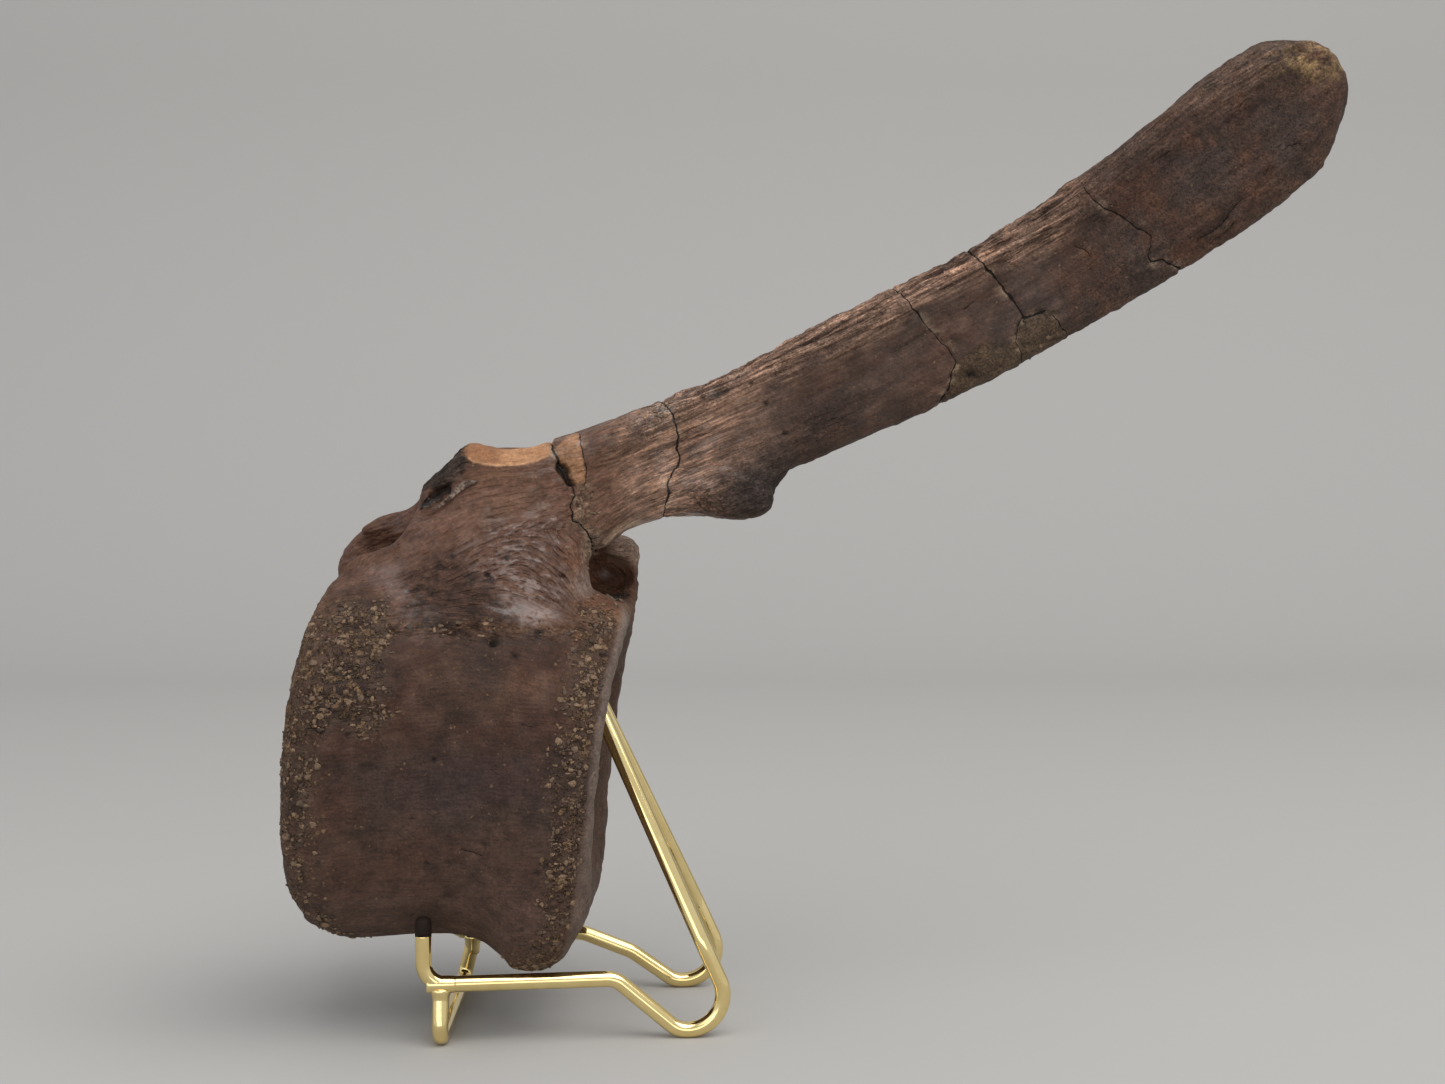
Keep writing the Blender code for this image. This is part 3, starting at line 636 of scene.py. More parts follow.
# Painted shade: the sunken grooves of the furrowed area are darkened.
stain(furrowed * 0.4 * ramp(WRINKLE, 0.0, 1.0), (26, 18, 16))
stain(ARCH * 0.12 * ramp(WRINKLE, 0.7, 1.7), (30, 18, 15))
stain(rough_heel * 0.65, (36, 32, 31))
# Painted shade: dark streaks on the rough patches stand in for the shade among their short fibres.
stain(rough_heel * 0.7 * ramp(WRINKLE, 0.3, 1.4), "dark")
stain(ledge * 0.6, "sand")
stain(ledge * 0.8 * ramp(WRINKLE, 0.2, 1.2), "dark")
stain(rolled * 0.8, (135, 68, 40))
# Painted shade: the front slope is coloured grey, partly its own colour and partly the shade of a face
# turned from the light.
stain(slope * 0.85, (62, 52, 47))
stain(slope * 0.8 * ramp(WRINKLE, 0.1, 1.2), "dark")
stain(furrowed * ramp(hills(P, 2.2, 80, 3), 0.10, 0.50) * 0.75, "dark")

print("mean colour so far:", COLOUR[NEAR > 0.9].mean(0).round(3))

# %% The drum, its crust and its end faces
upper = ramp(Z, 58, 80) * CENTRUM * (1 - 0.6 * CRUST)
stain(upper * ramp(hills(P, 6.5, 81, 3), 0.05, 0.7) * 0.4, (105, 76, 66))
stain(upper * ramp(-hills(P, 8.0, 82, 3), 0.05, 0.7) * 0.5, (30, 20, 18))
grain_patch = np.clip(GRAINY * (0.55 + 0.9 * hills(P, 4.5, 71, 2)), 0, 1)
stain(patch * ramp(112 - Z, 0, 5) * 0.6, (36, 28, 29))
stain(grain_patch * 0.6, (92, 70, 56))
stain(grain_patch * ramp(-coarse, 0.1, 0.6) * 0.75, (20, 15, 13))
stain(faces * 0.35, (110, 78, 60))
# Painted highlight: a light grey band near the viewer's edge of the rear face stands in for the sheen on
# that smooth face.
stain(REAR_FACE * ramp(-Y, 5, 15) * 0.75, (165, 150, 145))

print("mean colour so far:", COLOUR[NEAR > 0.9].mean(0).round(3))

# %% The saddle, the chip beside it, and the marks near the tip
stain(on_saddle, (325, 205, 124))
stain(on_saddle * ramp(-35 - X, -4, 5) * 0.65, (200, 100, 52))
stain(on_saddle * ramp(medium + broad, 0.0, 0.7) * 0.4, (200, 105, 56))
# Painted highlight: the lip of the saddle is coloured near white, partly its own pale edge and partly the
# light it catches.
stain(lip * (0.75 + 0.5 * medium), (520, 345, 220))
stain(chip * 0.9, (260, 155, 90))
stain(olive * 0.7, (78, 58, 38))
ochre = np.exp(-(((X - 172) / 9) ** 2 + ((Z - 246) / 4.5) ** 2))
stain(ochre * ramp(hills(P, 1.8, 75, 2), -0.3, 0.3) * 0.9, (320, 240, 125))
stain(scar * 0.35, (45, 30, 25))
stain(halo * 0.6 * ramp(hills(P, 3.2, 76, 2), 0.1, 0.5), (240, 200, 155))

print("mean colour of the saddle:", COLOUR[on_saddle > 0.9].mean(0).round(3))

# %% Painted shade in the mouth of the canal, the holes and the pits, and painted light on the pale knob
# Painted shade: the mouth of the canal is coloured near black and slightly blue, for the shade deep inside
# it.
canal_shade = ramp(11.5 - np.abs(Y), 0, 2) * ramp(X, -62, -52) * ramp(-1.0 - X, 0, 3) * ramp(118 - Z, 0, 1.5)
stain(0.96 * canal_shade * ramp(Z, 106.5, 108) * (1 - toward * (Y < -6)), (8.5, 10.5, 12.5))
# Painted light: the knob is coloured pale tan, partly its own colour and partly the light falling on its
# upper lobe.
knob = ramp(Y, 1, 4) * ramp(X, -11, -6.5) * ramp(6 - X, 0, 3) * ramp(Z, 114, 119) * ramp(130 - Z, 0, 3)
knob *= np.clip(1 - canal_shade * ramp(np.abs(N[:, 1]), 0.95, 0.75) * 0.2, 0, 1)
stain(knob * (0.8 + 0.6 * medium), (360, 285, 240))
stain(ridge(line_sides(ROOT_EDGE, X, Z)[0], 0.8) * (Y < 2), (340, 270, 210))
stain(np.clip(crumbs, 0, 1) * 0.9 * ramp(crumbly, -0.15, 0.45), (230, 180, 135))
stain(np.clip(crumbs, 0, 1) * 0.9 * ramp(-crumbly, 0.15, 0.6), "dark")
# Painted shade: the holes, the slit behind the splinter and the pits are coloured near black for the shade
# inside them.
stain(np.maximum(hole, slit) * 0.92, "black")
stain(pits * 1.2, "black")
# Painted light: the lower part of the drum is made paler, standing in for light thrown up from the floor.
stain(0.6 * ramp(-Z, -70, -25) * CENTRUM * (1 - 0.4 * CRUST), (88, 64, 56))
VARNISH, SPINE_PALE_AND_LIT = (1.12, 0.94, 0.80), (0.22, 0.26, 0.31)
COLOUR *= VARNISH
# The spine is made paler, partly its own colour and partly painted light on the top of the bone.
COLOUR *= 1 + np.outer(SPINE, SPINE_PALE_AND_LIT)

print("mean colour of the side we see:", COLOUR[NEAR > 0.9].mean(0).round(3))

# %% Shine and loose grains
GLOSS = ARCH * (0.25 + 0.4 * broad) + root * ramp(medium, -0.3, 0.5) * 0.7 + 0.1 * SPINE
GLOSS += 0.7 * wavy - 0.9 * GRAINY - furrowed * 0.3
GLOSS = np.clip(np.maximum(GLOSS, gloss_and_highlight_spots) - on_saddle - slope - rough_heel * 0.3, 0, 1)
clusters = ramp(hills(P, 4.5, 77, 3), -0.4, 0.55)
GRAINS = np.clip(CRUST * clusters + 0.25 * ledge + 0.12 * olive * clusters + crumbs * 0.4, 0, 1)
print("mean gloss and share of grains:", *(round(float(v.mean()), 3) for v in (GLOSS, GRAINS)))

# %% [markdown]
# ## Resting on the wire
#
# The bone touches the rails at its lower lips and leans on the top of the back loop. A physics run could
# settle it, but the solids already stand as the real bone does. Only the new lumps have to give way: any
# point of the new skin that would sink into the wire is moved back to its surface. So the wire's path
# comes here: straight runs joined by round bends, each corner given as X, Y, Z and the radius of its bend.

# %% The path of the wire
WIRE_RADIUS, SKIN_GAP, AT_A_TIME = 2.0, 0.12, 4000
NEAR_RUN = [(HOOK_X, -28.5, 27.7, 0), (HOOK_X, -28.5, 15, 5.5), (-7.3, -24.3, 15, 6), (8.2, -23.8, 1.85, 6),
            (24.2, -23.8, 1.85, 8.7), (14.5, -23.5, 23.3, 14)]
APEX = [(-21.5, 0, 101.8, 6.5)]
FAR_RUN = [(14.5, 23.5, 23.3, 14), (24.2, 23.8, 1.85, 8.7), (8, 23.8, 1.85, 6), (-3.5, 23.9, 9.9, 9),
           (-16.8, 24.6, 15, 9), (HOOK_X, 28.5, 15, 5.5), (HOOK_X, 28.5, 27.7, 0)]
FOOT = [(-50, -28.1, 12.25, 0), (-50, -31.2, 1.85, 3.2), (-49.5, 28.6, 1.85, 3.2), (-46.9, 27.8, 12.25, 0)]


def bent_path(corners, spacing):
    """Points along a wire that is bent round each corner, no further apart than the spacing."""
    path = [Vector(corners[0][:3])]
    for before, corner, after in zip(corners, corners[1:], corners[2:]):
        point, radius = Vector(corner[:3]), corner[3]
        back = (Vector(before[:3]) - point).normalized()
        ahead = (Vector(after[:3]) - point).normalized()
        half_angle = back.angle(ahead) / 2
        middle = point + (back + ahead).normalized() * radius / math.sin(half_angle)
        start = (point + back * radius / math.tan(half_angle) - middle).normalized()
        end = (point + ahead * radius / math.tan(half_angle) - middle).normalized()
        count = max(3, math.ceil(start.angle(end) * radius / (spacing * 0.5)))
        path += [middle + start.slerp(end, i / count) * radius for i in range(count + 1)]
    path.append(Vector(corners[-1][:3]))
    filled = [path[0]]
    for a, b in zip(path, path[1:]):
        count = max(1, math.ceil((b - a).length / spacing))
        filled += [a.lerp(b, i / count) for i in range(1, count + 1)]
    return np.array([tuple(p) for p in filled])


STAND_PATH = bent_path(NEAR_RUN + APEX + FAR_RUN, 0.9)
FOOT_PATH = bent_path(FOOT, 0.7)

print("points along the stand and the foot:", len(STAND_PATH), len(FOOT_PATH))

# %% Moving the skin clear of the wire
moved = P + N * lift[:, None]
mx, my, mz = moved.T
# The points that could touch the wire: the low ones between its sides, and those next to the back loop
close = np.flatnonzero((np.abs(my) < 34) & (mx > -60) & ((mz < 34) | (mx > -28)) & (mx < 0) & (mz < 112))
for start in range(0, len(close), AT_A_TIME):
    part = close[start:start + AT_A_TIME]
    gaps = moved[part][:, None, :] - STAND_PATH[None, ::2, :]
    distance = np.linalg.norm(gaps, axis=2)
    nearest = np.arange(len(part)), distance.argmin(axis=1)
    shortest = distance[nearest]
    push = np.clip(WIRE_RADIUS + SKIN_GAP - shortest, 0, None)
    moved[part] += gaps[nearest] / shortest[:, None] * push[:, None]
print("bone height:", moved[:, 2].min().round(2), "to", moved[:, 2].max().round(2))

# %% [markdown]
# ## From skin to finished piece
#
# The heights and colours go back into the mesh, and the weights with them, so that the material can read
# them. Image maps could carry them too, but attributes need no unwrapping and stay with the points. The
# even skin has more squares than its plain parts need, so it is thinned: flat places lose most triangles,
# and edges and cracks keep theirs.

# %% Keeping what the material reads
MOST_TRIANGLES = 192000


def store(mesh, name, values, kind="FLOAT_VECTOR"):
    """Keeps numbers at the points of a mesh. Three numbers may be given as three rows."""
    values = np.stack(values, axis=1) if isinstance(values, tuple) else values
    if kind == "FLOAT_COLOR":
        values = np.concatenate([values, np.ones((len(values), 1))], axis=1)
    field = {"FLOAT_VECTOR": "vector", "FLOAT_COLOR": "color", "FLOAT": "value"}[kind]
    mesh.attributes.new(name, kind, "POINT").data.foreach_set(field, values.astype(np.float32).ravel())


def place(mesh, points):
    """Moves the points of a mesh, given in millimetres, and updates it."""
    mesh.vertices.foreach_set("co", ((points + SHIFT) * MM).astype(np.float32).ravel())
    mesh.update()


def triangles(obj):
    return sum(len(p.vertices) - 2 for p in obj.data.polygons)


sandpapery = 0.85 * to_tip * SPINE + 0.75 * top_edge + 0.3 * SPINE + slope + 0.6 * rough_heel
sandpapery += 0.8 * knob + olive + 0.25 * CENTRUM + 0.5 * ledge + 0.3 * furrowed + crumbs
store(bone.data, "stain", np.clip(COLOUR, 0.004, 0.9), "FLOAT_COLOR")
store(bone.data, "grain_line", (ALONG * SPINE_LENGTH * MM, Y * MM, RISE * SPINE_HALF_HEIGHT * MM))
store(bone.data, "flow", FLOW * MM)
store(bone.data, "region", (SPINE, ARCH, np.maximum(top_edge, 0.75 * root)))
store(bone.data, "relief", (furrowed, np.maximum(wavy, slope), np.clip(rough_heel + ledge, 0, 1)))
store(bone.data, "finish", (GRAINY, GLOSS, on_saddle))
store(bone.data, "line", (LINE_SIGNED, LINE_GAP, LINE_HALF))
store(bone.data, "grains", GRAINS, "FLOAT")
store(bone.data, "granular", np.clip(sandpapery, 0, 1), "FLOAT")
place(bone.data, moved)
print("attributes kept:", [a.name for a in bone.data.attributes if not a.name.startswith(".")])

# %% Thinning the mesh
before = triangles(bone)
if before > MOST_TRIANGLES:
    modifier(bone, "DECIMATE", ratio=MOST_TRIANGLES / before)
    bake_modifiers(bone)
bone.data.shade_smooth()
print("triangles:", before, "thinned to", triangles(bone))

# %% [markdown]
# ## Shader tools
#
# A material is a tree of small nodes. It could be wired by hand in the shader editor, but a script can be
# read from top to bottom and run again. Here each output of a node is a `Field`, and fields add and
# multiply like numbers, so that a long chain of nodes reads as one line of arithmetic. `TREE` is the tree
# in work.

# %% Fields and nodes
TREE = None


class Field:
    """The output of a node."""

    def __init__(self, socket):
        self.socket = socket

    def __add__(self, other):
        return maths("ADD", self, other)

    def __sub__(self, other):
        return maths("SUBTRACT", self, other)

    def __rsub__(self, other):
        return maths("SUBTRACT", other, self)

    def __mul__(self, other):
        return maths("MULTIPLY", self, other)

    __radd__, __rmul__ = __add__, __mul__


def fill(made, inputs):
    """Gives a node's inputs their values, or links them to fields."""
    for key, value in inputs.items():
        if isinstance(value, Field):
            TREE.links.new(value.socket, made.inputs[key])
        else:
            made.inputs[key].default_value = value


def node(kind, inputs=None, **settings):
    """Adds a node to the tree in work. Its outputs come back as fields, by number and by name."""
    made = TREE.nodes.new(kind)
    for name, value in settings.items():
        setattr(made, name, value)
    fill(made, inputs or {})
    outputs = {socket.name: Field(socket) for socket in made.outputs}
    return outputs | {index: Field(socket) for index, socket in enumerate(made.outputs)}


def maths(operation, *values, clamp=False):
    """One step of arithmetic. Each value may be a field or a number."""
    return node("ShaderNodeMath", dict(enumerate(values)), operation=operation, use_clamp=clamp)[0]


def vector(operation, inputs):
    """One step of arithmetic on vectors."""
    return node("ShaderNodeVectorMath", inputs, operation=operation)[0]


def most(first, *others):
    """The largest of several fields."""
    for other in others:
        first = maths("MAXIMUM", first, other)
    return first


def span(value, low, high, to_low=0.0, to_high=1.0):
    """Stretches part of a value's range smoothly onto another range."""
    return node("ShaderNodeMapRange", {0: value, 1: low, 2: high, 3: to_low, 4: to_high},
                interpolation_type="SMOOTHSTEP")[0]


def blend(factor, first, second, mode="MIX"):
    """Mixes two colours. Each may be a field or three numbers."""
    first, second = ((*c, 1) if isinstance(c, tuple) else c for c in (first, second))
    return node("ShaderNodeMix", {0: factor, 6: first, 7: second}, data_type="RGBA", blend_type=mode)[2]


def tinted(colour, factor):
    """A colour made lighter or darker by a factor, or by three."""
    return blend(1.0, colour, factor, "MULTIPLY")


def noise(at, scale, detail=2.0, roughness=0.5, distortion=0.0):
    """Soft random clouds, about 0.5 on average, with scale of them to the metre."""
    look = {"Vector": at, "Scale": scale, "Detail": detail, "Roughness": roughness}
    return node("ShaderNodeTexNoise", look | {"Distortion": distortion})["Fac"]


def bump(height, distance, strength=1.0, over=None):
    """Bends the light as if the surface had this height, over another bump if one is given."""
    look = {"Height": height, "Strength": strength, "Distance": distance}
    return node("ShaderNodeBump", look | ({"Normal": over} if over else {}))[0]


print("tools for materials:", [tool.__name__ for tool in (node, maths, most, span, blend, noise, bump)])


# %% [markdown]
# ## Effects that materials share
#
# Bone and brass both need soft uneven tone and scattered specks, and the bone needs its fibres at several
# sizes. The nodes could be repeated each time. Instead each effect is a group with named inputs, built
# once, so that its strength and scale can be turned where it is used. Groups hold only noise, ramps and
# mixing; the surface itself stays outside them.

# %% Groups and their recipes
def make_group(name, inputs, recipe):
    """A group with these inputs. The recipe turns them into the outputs, by name."""
    global TREE
    TREE = bpy.data.node_groups.new(name, "ShaderNodeTree")
    for label, value in {"Vector": None, **inputs}.items():
        kind = "NodeSocketVector" if value is None else "NodeSocketFloat"
        socket = TREE.interface.new_socket(label, in_out="INPUT", socket_type=kind)
        if value is not None:
            socket.default_value = value
    results = recipe(node("NodeGroupInput"))
    for label in results:
        TREE.interface.new_socket(label, in_out="OUTPUT", socket_type="NodeSocketFloat")
    fill(TREE.nodes.new("NodeGroupOutput"), results)
    return TREE


def fibres_recipe(given):
    """Fine parallel fibres. The vector's first axis runs along them."""
    along = node("ShaderNodeCombineXYZ", {0: given["Stretch"], 1: 1.0, 2: 1.0})[0]
    thin = vector("MULTIPLY", {0: given["Vector"], 1: along})
    long_noise = noise(thin, given["Per metre"], 3.0, 0.6, 0.3)
    return {"Height": long_noise * 0.6 + noise(thin, given["Per metre"] * 0.37, 2.0, 0.55) * 0.4}


def flowing_recipe(given):
    """Short fibres that bend with the bone: one noise, averaged over nine steps along the flow."""
    total = 0.0
    for index in range(-4, 5):
        shift = vector("SCALE", {0: given["Flow"], "Scale": given["Step"] * float(index)})
        total += noise(vector("ADD", {0: given["Vector"], 1: shift}), given["Per metre"], 1.0)
    return {"Height": (total - 4.5) * 0.27 + 0.5}


def grains_recipe(given):
    """Rounded grains with gaps between them. Amount is the share of places that hold one."""
    at = {"Vector": given["Vector"], "Scale": given["Per metre"]}
    warp = node("ShaderNodeTexNoise", {**at, "Detail": 2.0})
    bent = vector("MULTIPLY_ADD", {0: warp["Color"], 1: (0.0011, 0.0011, 0.0011), 2: given["Vector"]})
    grain = node("ShaderNodeTexVoronoi", {**at, "Vector": bent, "Randomness": 1.0})
    chance = node("ShaderNodeSeparateColor", {0: grain["Color"]})
    size = chance[1] * 0.22 + 0.26
    rounded = node("ShaderNodeMapRange", {0: grain["Distance"], 1: size, 2: size * 0.65, 3: 0.0, 4: 1.0})[0]
    mask = rounded * maths("LESS_THAN", chance[0], given["Amount"])
    return {"Mask": mask, "Height": mask - grain["Distance"] * 0.6, "Tone": chance[2]}


def speckle_recipe(given):
    """Scattered grains of two sizes: 1 on a grain, 0 between them."""
    fine = noise(given["Vector"], given["Per metre"], 3.5, 0.62)
    patchy = noise(given["Vector"], given["Per metre"] * 0.22)
    level = 0.78 - given["Amount"] * 0.30
    return {"Mask": span(fine * 0.72 + patchy * 0.38 - level, 0.0, 0.05)}


def mottle_recipe(given):
    """Soft uneven tone: about 1 on average, darker and lighter in clouds."""
    clouds = noise(given["Vector"], given["Per metre"], 6.0, 0.66, 0.4)
    return {"Factor": most((clouds - 0.5) * (given["Strength"] * 4.0) + 1.0, 0.15)}


FIBRES = make_group("bone_fibres", {"Per metre": 900.0, "Stretch": 0.08}, fibres_recipe)
FLOWING = make_group("flowing_fibres", {"Flow": None, "Per metre": 1500.0, "Step": 0.35}, flowing_recipe)
GRAIN_SHAPES = make_group("crust_grains", {"Per metre": 700.0, "Amount": 0.5}, grains_recipe)
SPECKLE = make_group("sandy_speckle", {"Per metre": 800.0, "Amount": 0.5}, speckle_recipe)
MOTTLE = make_group("mottle", {"Per metre": 260.0, "Strength": 0.3}, mottle_recipe)
print("shared effects:", [g.name for g in (FIBRES, FLOWING, GRAIN_SHAPES, SPECKLE, MOTTLE)])


# %% Materials and the effects in them
def effect(group, at, per_metre, **inputs):
    """Places a shared effect in the material in work."""
    return node("ShaderNodeGroup", {"Vector": at, "Per metre": per_metre, **inputs}, node_tree=group)


def new_material(name):
    """A material in work, its surface, and the place on it as a vector."""
    global TREE
    made = bpy.data.materials.new(name)
    made.use_nodes = True
    TREE = made.node_tree
    TREE.nodes.clear()
    surface = TREE.nodes.new("ShaderNodeBsdfPrincipled")
    TREE.links.new(surface.outputs[0], TREE.nodes.new("ShaderNodeOutputMaterial").inputs[0])
    return made, surface, node("ShaderNodeTexCoord")["Object"]


def kept(name, output="Fac"):
    """A number, colour or vector kept at the points of the mesh."""
    return node("ShaderNodeAttribute", attribute_name=name)[output]


def three(name):
    """The three numbers kept in one vector."""
    parts = node("ShaderNodeSeparateXYZ", {0: kept(name, "Vector")})
    return parts[0], parts[1], parts[2]


print("what the material can read:", [a.name for a in bone.data.attributes if not a.name.startswith(".")])

# %% [markdown]
# ## The bone's material: colour
#
# The stain at each point sets the overall colour. It is as coarse as the mesh, so finer detail is added
# here, where it costs no triangles: soft clouds, fibres along the spine and the arch with painted glints
# on their ridges and painted shade between them, painted shade in the grooves, tan grains and dark pores
# in the crust. A break is thinner than the squares of the skin, so it is drawn as a thin dark line where
# the stored distance is less than the stored half width.

# %% Fibres, wrinkles and splits
fossil, surface, where = new_material("fossil_bone")
grain_line, flow = kept("grain_line", "Vector"), kept("flow", "Vector")
spine_weight, arch_weight, edge_weight = three("region")
crust_weight, gloss_weight, clean_weight = three("finish")
line_signed, line_gap, line_half = three("line")
furrow_weight, wavy_weight, rugged_weight = three("relief")
worn = maths("SUBTRACT", 1.0, clean_weight, clamp=True)

spine_fibres = effect(FIBRES, grain_line, 2100.0, Stretch=0.045)["Height"]
bent_fibres = effect(FLOWING, where, 1500.0, Flow=flow, Step=0.36)["Height"]
fibres = node("ShaderNodeMix", {0: spine_weight, 2: bent_fibres, 3: spine_fibres})[0]
fibre_weight = spine_weight * 0.08 + 0.05 + arch_weight * 0.06 + edge_weight * 0.66
wrinkles = effect(FLOWING, where, 900.0, Flow=flow, Step=0.45)["Height"]
wrinkled = most(furrow_weight * 0.55, wavy_weight, rugged_weight, arch_weight * 0.35)
groove = span(wrinkles, 0.50, 0.38) * maths("ADD", furrow_weight * 0.10, wrinkled * 0.12, clamp=True)
splits = effect(FIBRES, grain_line, 1050.0, Stretch=0.14)["Height"]
split = span(splits, 0.47, 0.41) * span(edge_weight, 0.3, 0.9)

print("nodes so far:", len(TREE.nodes))

# %% Clouds, and fibres with painted glints and painted shade
clouds = effect(MOTTLE, where, 210.0, Strength=0.46)["Factor"]
fine_clouds = effect(MOTTLE, where, 1300.0, Strength=0.34)["Factor"]
toned = tinted(tinted(kept("stain", "Color"), clouds), fine_clouds)
# Painted light and shade: raised fibres are lit up as glints, and low fibres, grooves and splits are
# darkened as the shade in them, over the fibres' own light and dark tone.
for mask, tint in (
        (span(fibres, 0.51, 0.60) * fibre_weight * worn * 0.85, (2.9, 2.8, 2.7)),
        (span(fibres, 0.49, 0.41) * fibre_weight * worn, (0.25, 0.22, 0.22)),
        (most(groove, split * 0.65) * worn, (0.24, 0.20, 0.19))):
    toned = blend(mask, toned, tinted(toned, tint))
granular = (noise(where, 1500.0, 4.0, 0.72) - 0.5) * kept("granular")
toned = tinted(toned, most(granular * 3.4 + 1.0, 0.2))

print("nodes so far:", len(TREE.nodes))

# %% Grains, pores and breaks
amount = crust_weight * 0.72
coarse_grains = effect(GRAIN_SHAPES, where, 560.0, Amount=amount)
fine_grains = effect(GRAIN_SHAPES, where, 1250.0, Amount=amount + 0.05)
merged = effect(SPECKLE, where, 480.0, Amount=crust_weight * 0.76 - 0.02)["Mask"]
grain_mask = most(merged, coarse_grains["Mask"], fine_grains["Mask"] * 0.7) * worn
grain_tone = blend(coarse_grains["Tone"], (0.080, 0.047, 0.027), (0.250, 0.158, 0.090))
toned = blend(grain_mask * 0.85, toned, grain_tone)
sparse = effect(SPECKLE, where, 900.0, Amount=0.22)["Mask"]
toned = blend(sparse * 0.5 * worn, toned, (0.170, 0.112, 0.072))
pores = node("ShaderNodeTexVoronoi", {"Vector": where, "Scale": 780.0, "Randomness": 1.0})["Distance"]
pore_mask = span(pores, 0.26, 0.10) * (crust_weight * 0.5 + 0.12) * worn
toned = blend(pore_mask, toned, (0.012, 0.009, 0.008))

offset = maths("ABSOLUTE", line_signed + (noise(where, 900.0, 3.0) * 0.5 - 0.25))
on_line = span(line_gap, 1.4, 0.9) * maths("GREATER_THAN", line_half, 0.03)
crack = span(offset - line_half, 0.07, -0.05) * on_line
toned = blend(crack * 0.95, toned, (0.007, 0.005, 0.004))
print("nodes so far:", len(TREE.nodes))

# %% [markdown]
# ## The bone's material: shine and relief
#
# A satin film of varnish holds old bone together. It is glossiest on the arch, and broken where the bone
# is wrinkled. A lower roughness alone would make the whole bone look damp, so the film is a thin coat over
# a rough ground. Height from the same fields bends the light, so that colour and relief agree.

# %% Varnish, roughness and relief
dull = noise(where, 420.0, 5.0, 0.65)
broken_film = 1.0 - wavy_weight * span(wrinkles, 0.56, 0.44) * 0.8
film = gloss_weight * span(dull, 0.35, 0.55) * broken_film
roughness = span(dull, 0.25, 0.75, 0.44, 0.74) - film * 0.18

relief = bump(fibres * fibre_weight - split * 0.25, 0.0020)
relief = bump(wrinkles * wrinkled - groove * 0.6, 0.0017, over=relief)
relief = bump(granular * 4.0 + fine_clouds * 0.5, 0.0003, over=relief)
grain_height = coarse_grains["Height"] * crust_weight + fine_grains["Height"] * crust_weight * 0.4
relief = bump(grain_height + merged * 0.8, 0.0008, over=relief)
relief = bump(most(pore_mask, crack) * -1.0, 0.0006, strength=0.8, over=relief)
fill(surface, {
    "Base Color": toned, "Roughness": maths("ADD", roughness, most(grain_mask, crack) * 0.25, clamp=True),
    "Coat Weight": film * 0.95, "Coat Roughness": 0.19, "Specular IOR Level": 0.15, "Normal": relief,
})
bone.data.materials.clear()
bone.data.materials.append(fossil)
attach(bone, "root")
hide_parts("vertebra")
print("bone material nodes:", len(TREE.nodes))

# %% [markdown]
# ## Grains of rock
#
# Grains of the sandstone that once held the bone still stick to its crust. Bump alone would leave them
# flat at the outline, and set by hand they would take days. So a node tree scatters points over the skin,
# more where the stored crust is thick, and sets one real lump on each. A random share, multiplied by
# itself, makes most lumps small and a few large.

# %% The tree that scatters grains
def scatter_tree():
    """The node tree that scatters grains over a skin, with its choices as named inputs."""
    global TREE
    TREE = bpy.data.node_groups.new("scattered_grains", "GeometryNodeTree")
    for label, kind in (("Skin", "Geometry"), ("Per square metre", "Float"), ("Least gap", "Float"),
                        ("Size", "Float"), ("Seed", "Int"), ("Look", "Material")):
        TREE.interface.new_socket(label, in_out="INPUT", socket_type="NodeSocket" + kind)
    TREE.interface.new_socket("Grains", in_out="OUTPUT", socket_type="NodeSocketGeometry")
    given = node("NodeGroupInput")
    density = node("GeometryNodeInputNamedAttribute", {"Name": "grains"}, data_type="FLOAT")[0]
    places = node("GeometryNodeDistributePointsOnFaces", {
        "Mesh": given["Skin"], "Distance Min": given["Least gap"], "Density Max": given["Per square metre"],
        "Density Factor": density, "Seed": given["Seed"]}, distribute_method="POISSON")
    lump = node("GeometryNodeMeshUVSphere", {"Segments": 6, "Rings": 4, "Radius": 1.0})[0]
    stretch = node("FunctionNodeRandomValue", {0: (0.25, 0.22, 0.12), 1: (1.1, 0.85, 0.28)},
                   data_type="FLOAT_VECTOR")[0]
    share = node("FunctionNodeRandomValue", {2: 0.25, 3: 1.0, "Seed": 7}, data_type="FLOAT")[1]
    size = vector("SCALE", {0: stretch, "Scale": share * share * given["Size"]})
    made = node("GeometryNodeInstanceOnPoints", {
        "Points": places["Points"], "Instance": lump, "Rotation": places["Rotation"], "Scale": size})[0]
    tone = node("FunctionNodeRandomValue", {2: 0.0, 3: 1.0}, data_type="FLOAT")[1]
    made = node("GeometryNodeStoreNamedAttribute", {"Geometry": made, "Name": "tone", "Value": tone},
                data_type="FLOAT", domain="INSTANCE")[0]
    made = node("GeometryNodeRealizeInstances", {0: made})[0]
    rough = node("ShaderNodeTexNoise", {"Scale": 1500.0, "Detail": 1.0})["Color"]
    knock = vector("SCALE", {0: vector("SUBTRACT", {0: rough, 1: (0.5, 0.5, 0.5)}), "Scale": given["Size"]})
    made = node("GeometryNodeSetPosition", {"Geometry": made, "Offset": knock})[0]
    made = node("GeometryNodeSetShadeSmooth", {0: made})[0]
    made = node("GeometryNodeSetMaterial", {"Geometry": made, "Material": given["Look"]})[0]
    fill(TREE.nodes.new("NodeGroupOutput"), {0: made})
    return TREE


scatter_nodes = scatter_tree()
print("inputs of the tree:", [socket.name for socket in scatter_nodes.interface.items_tree])

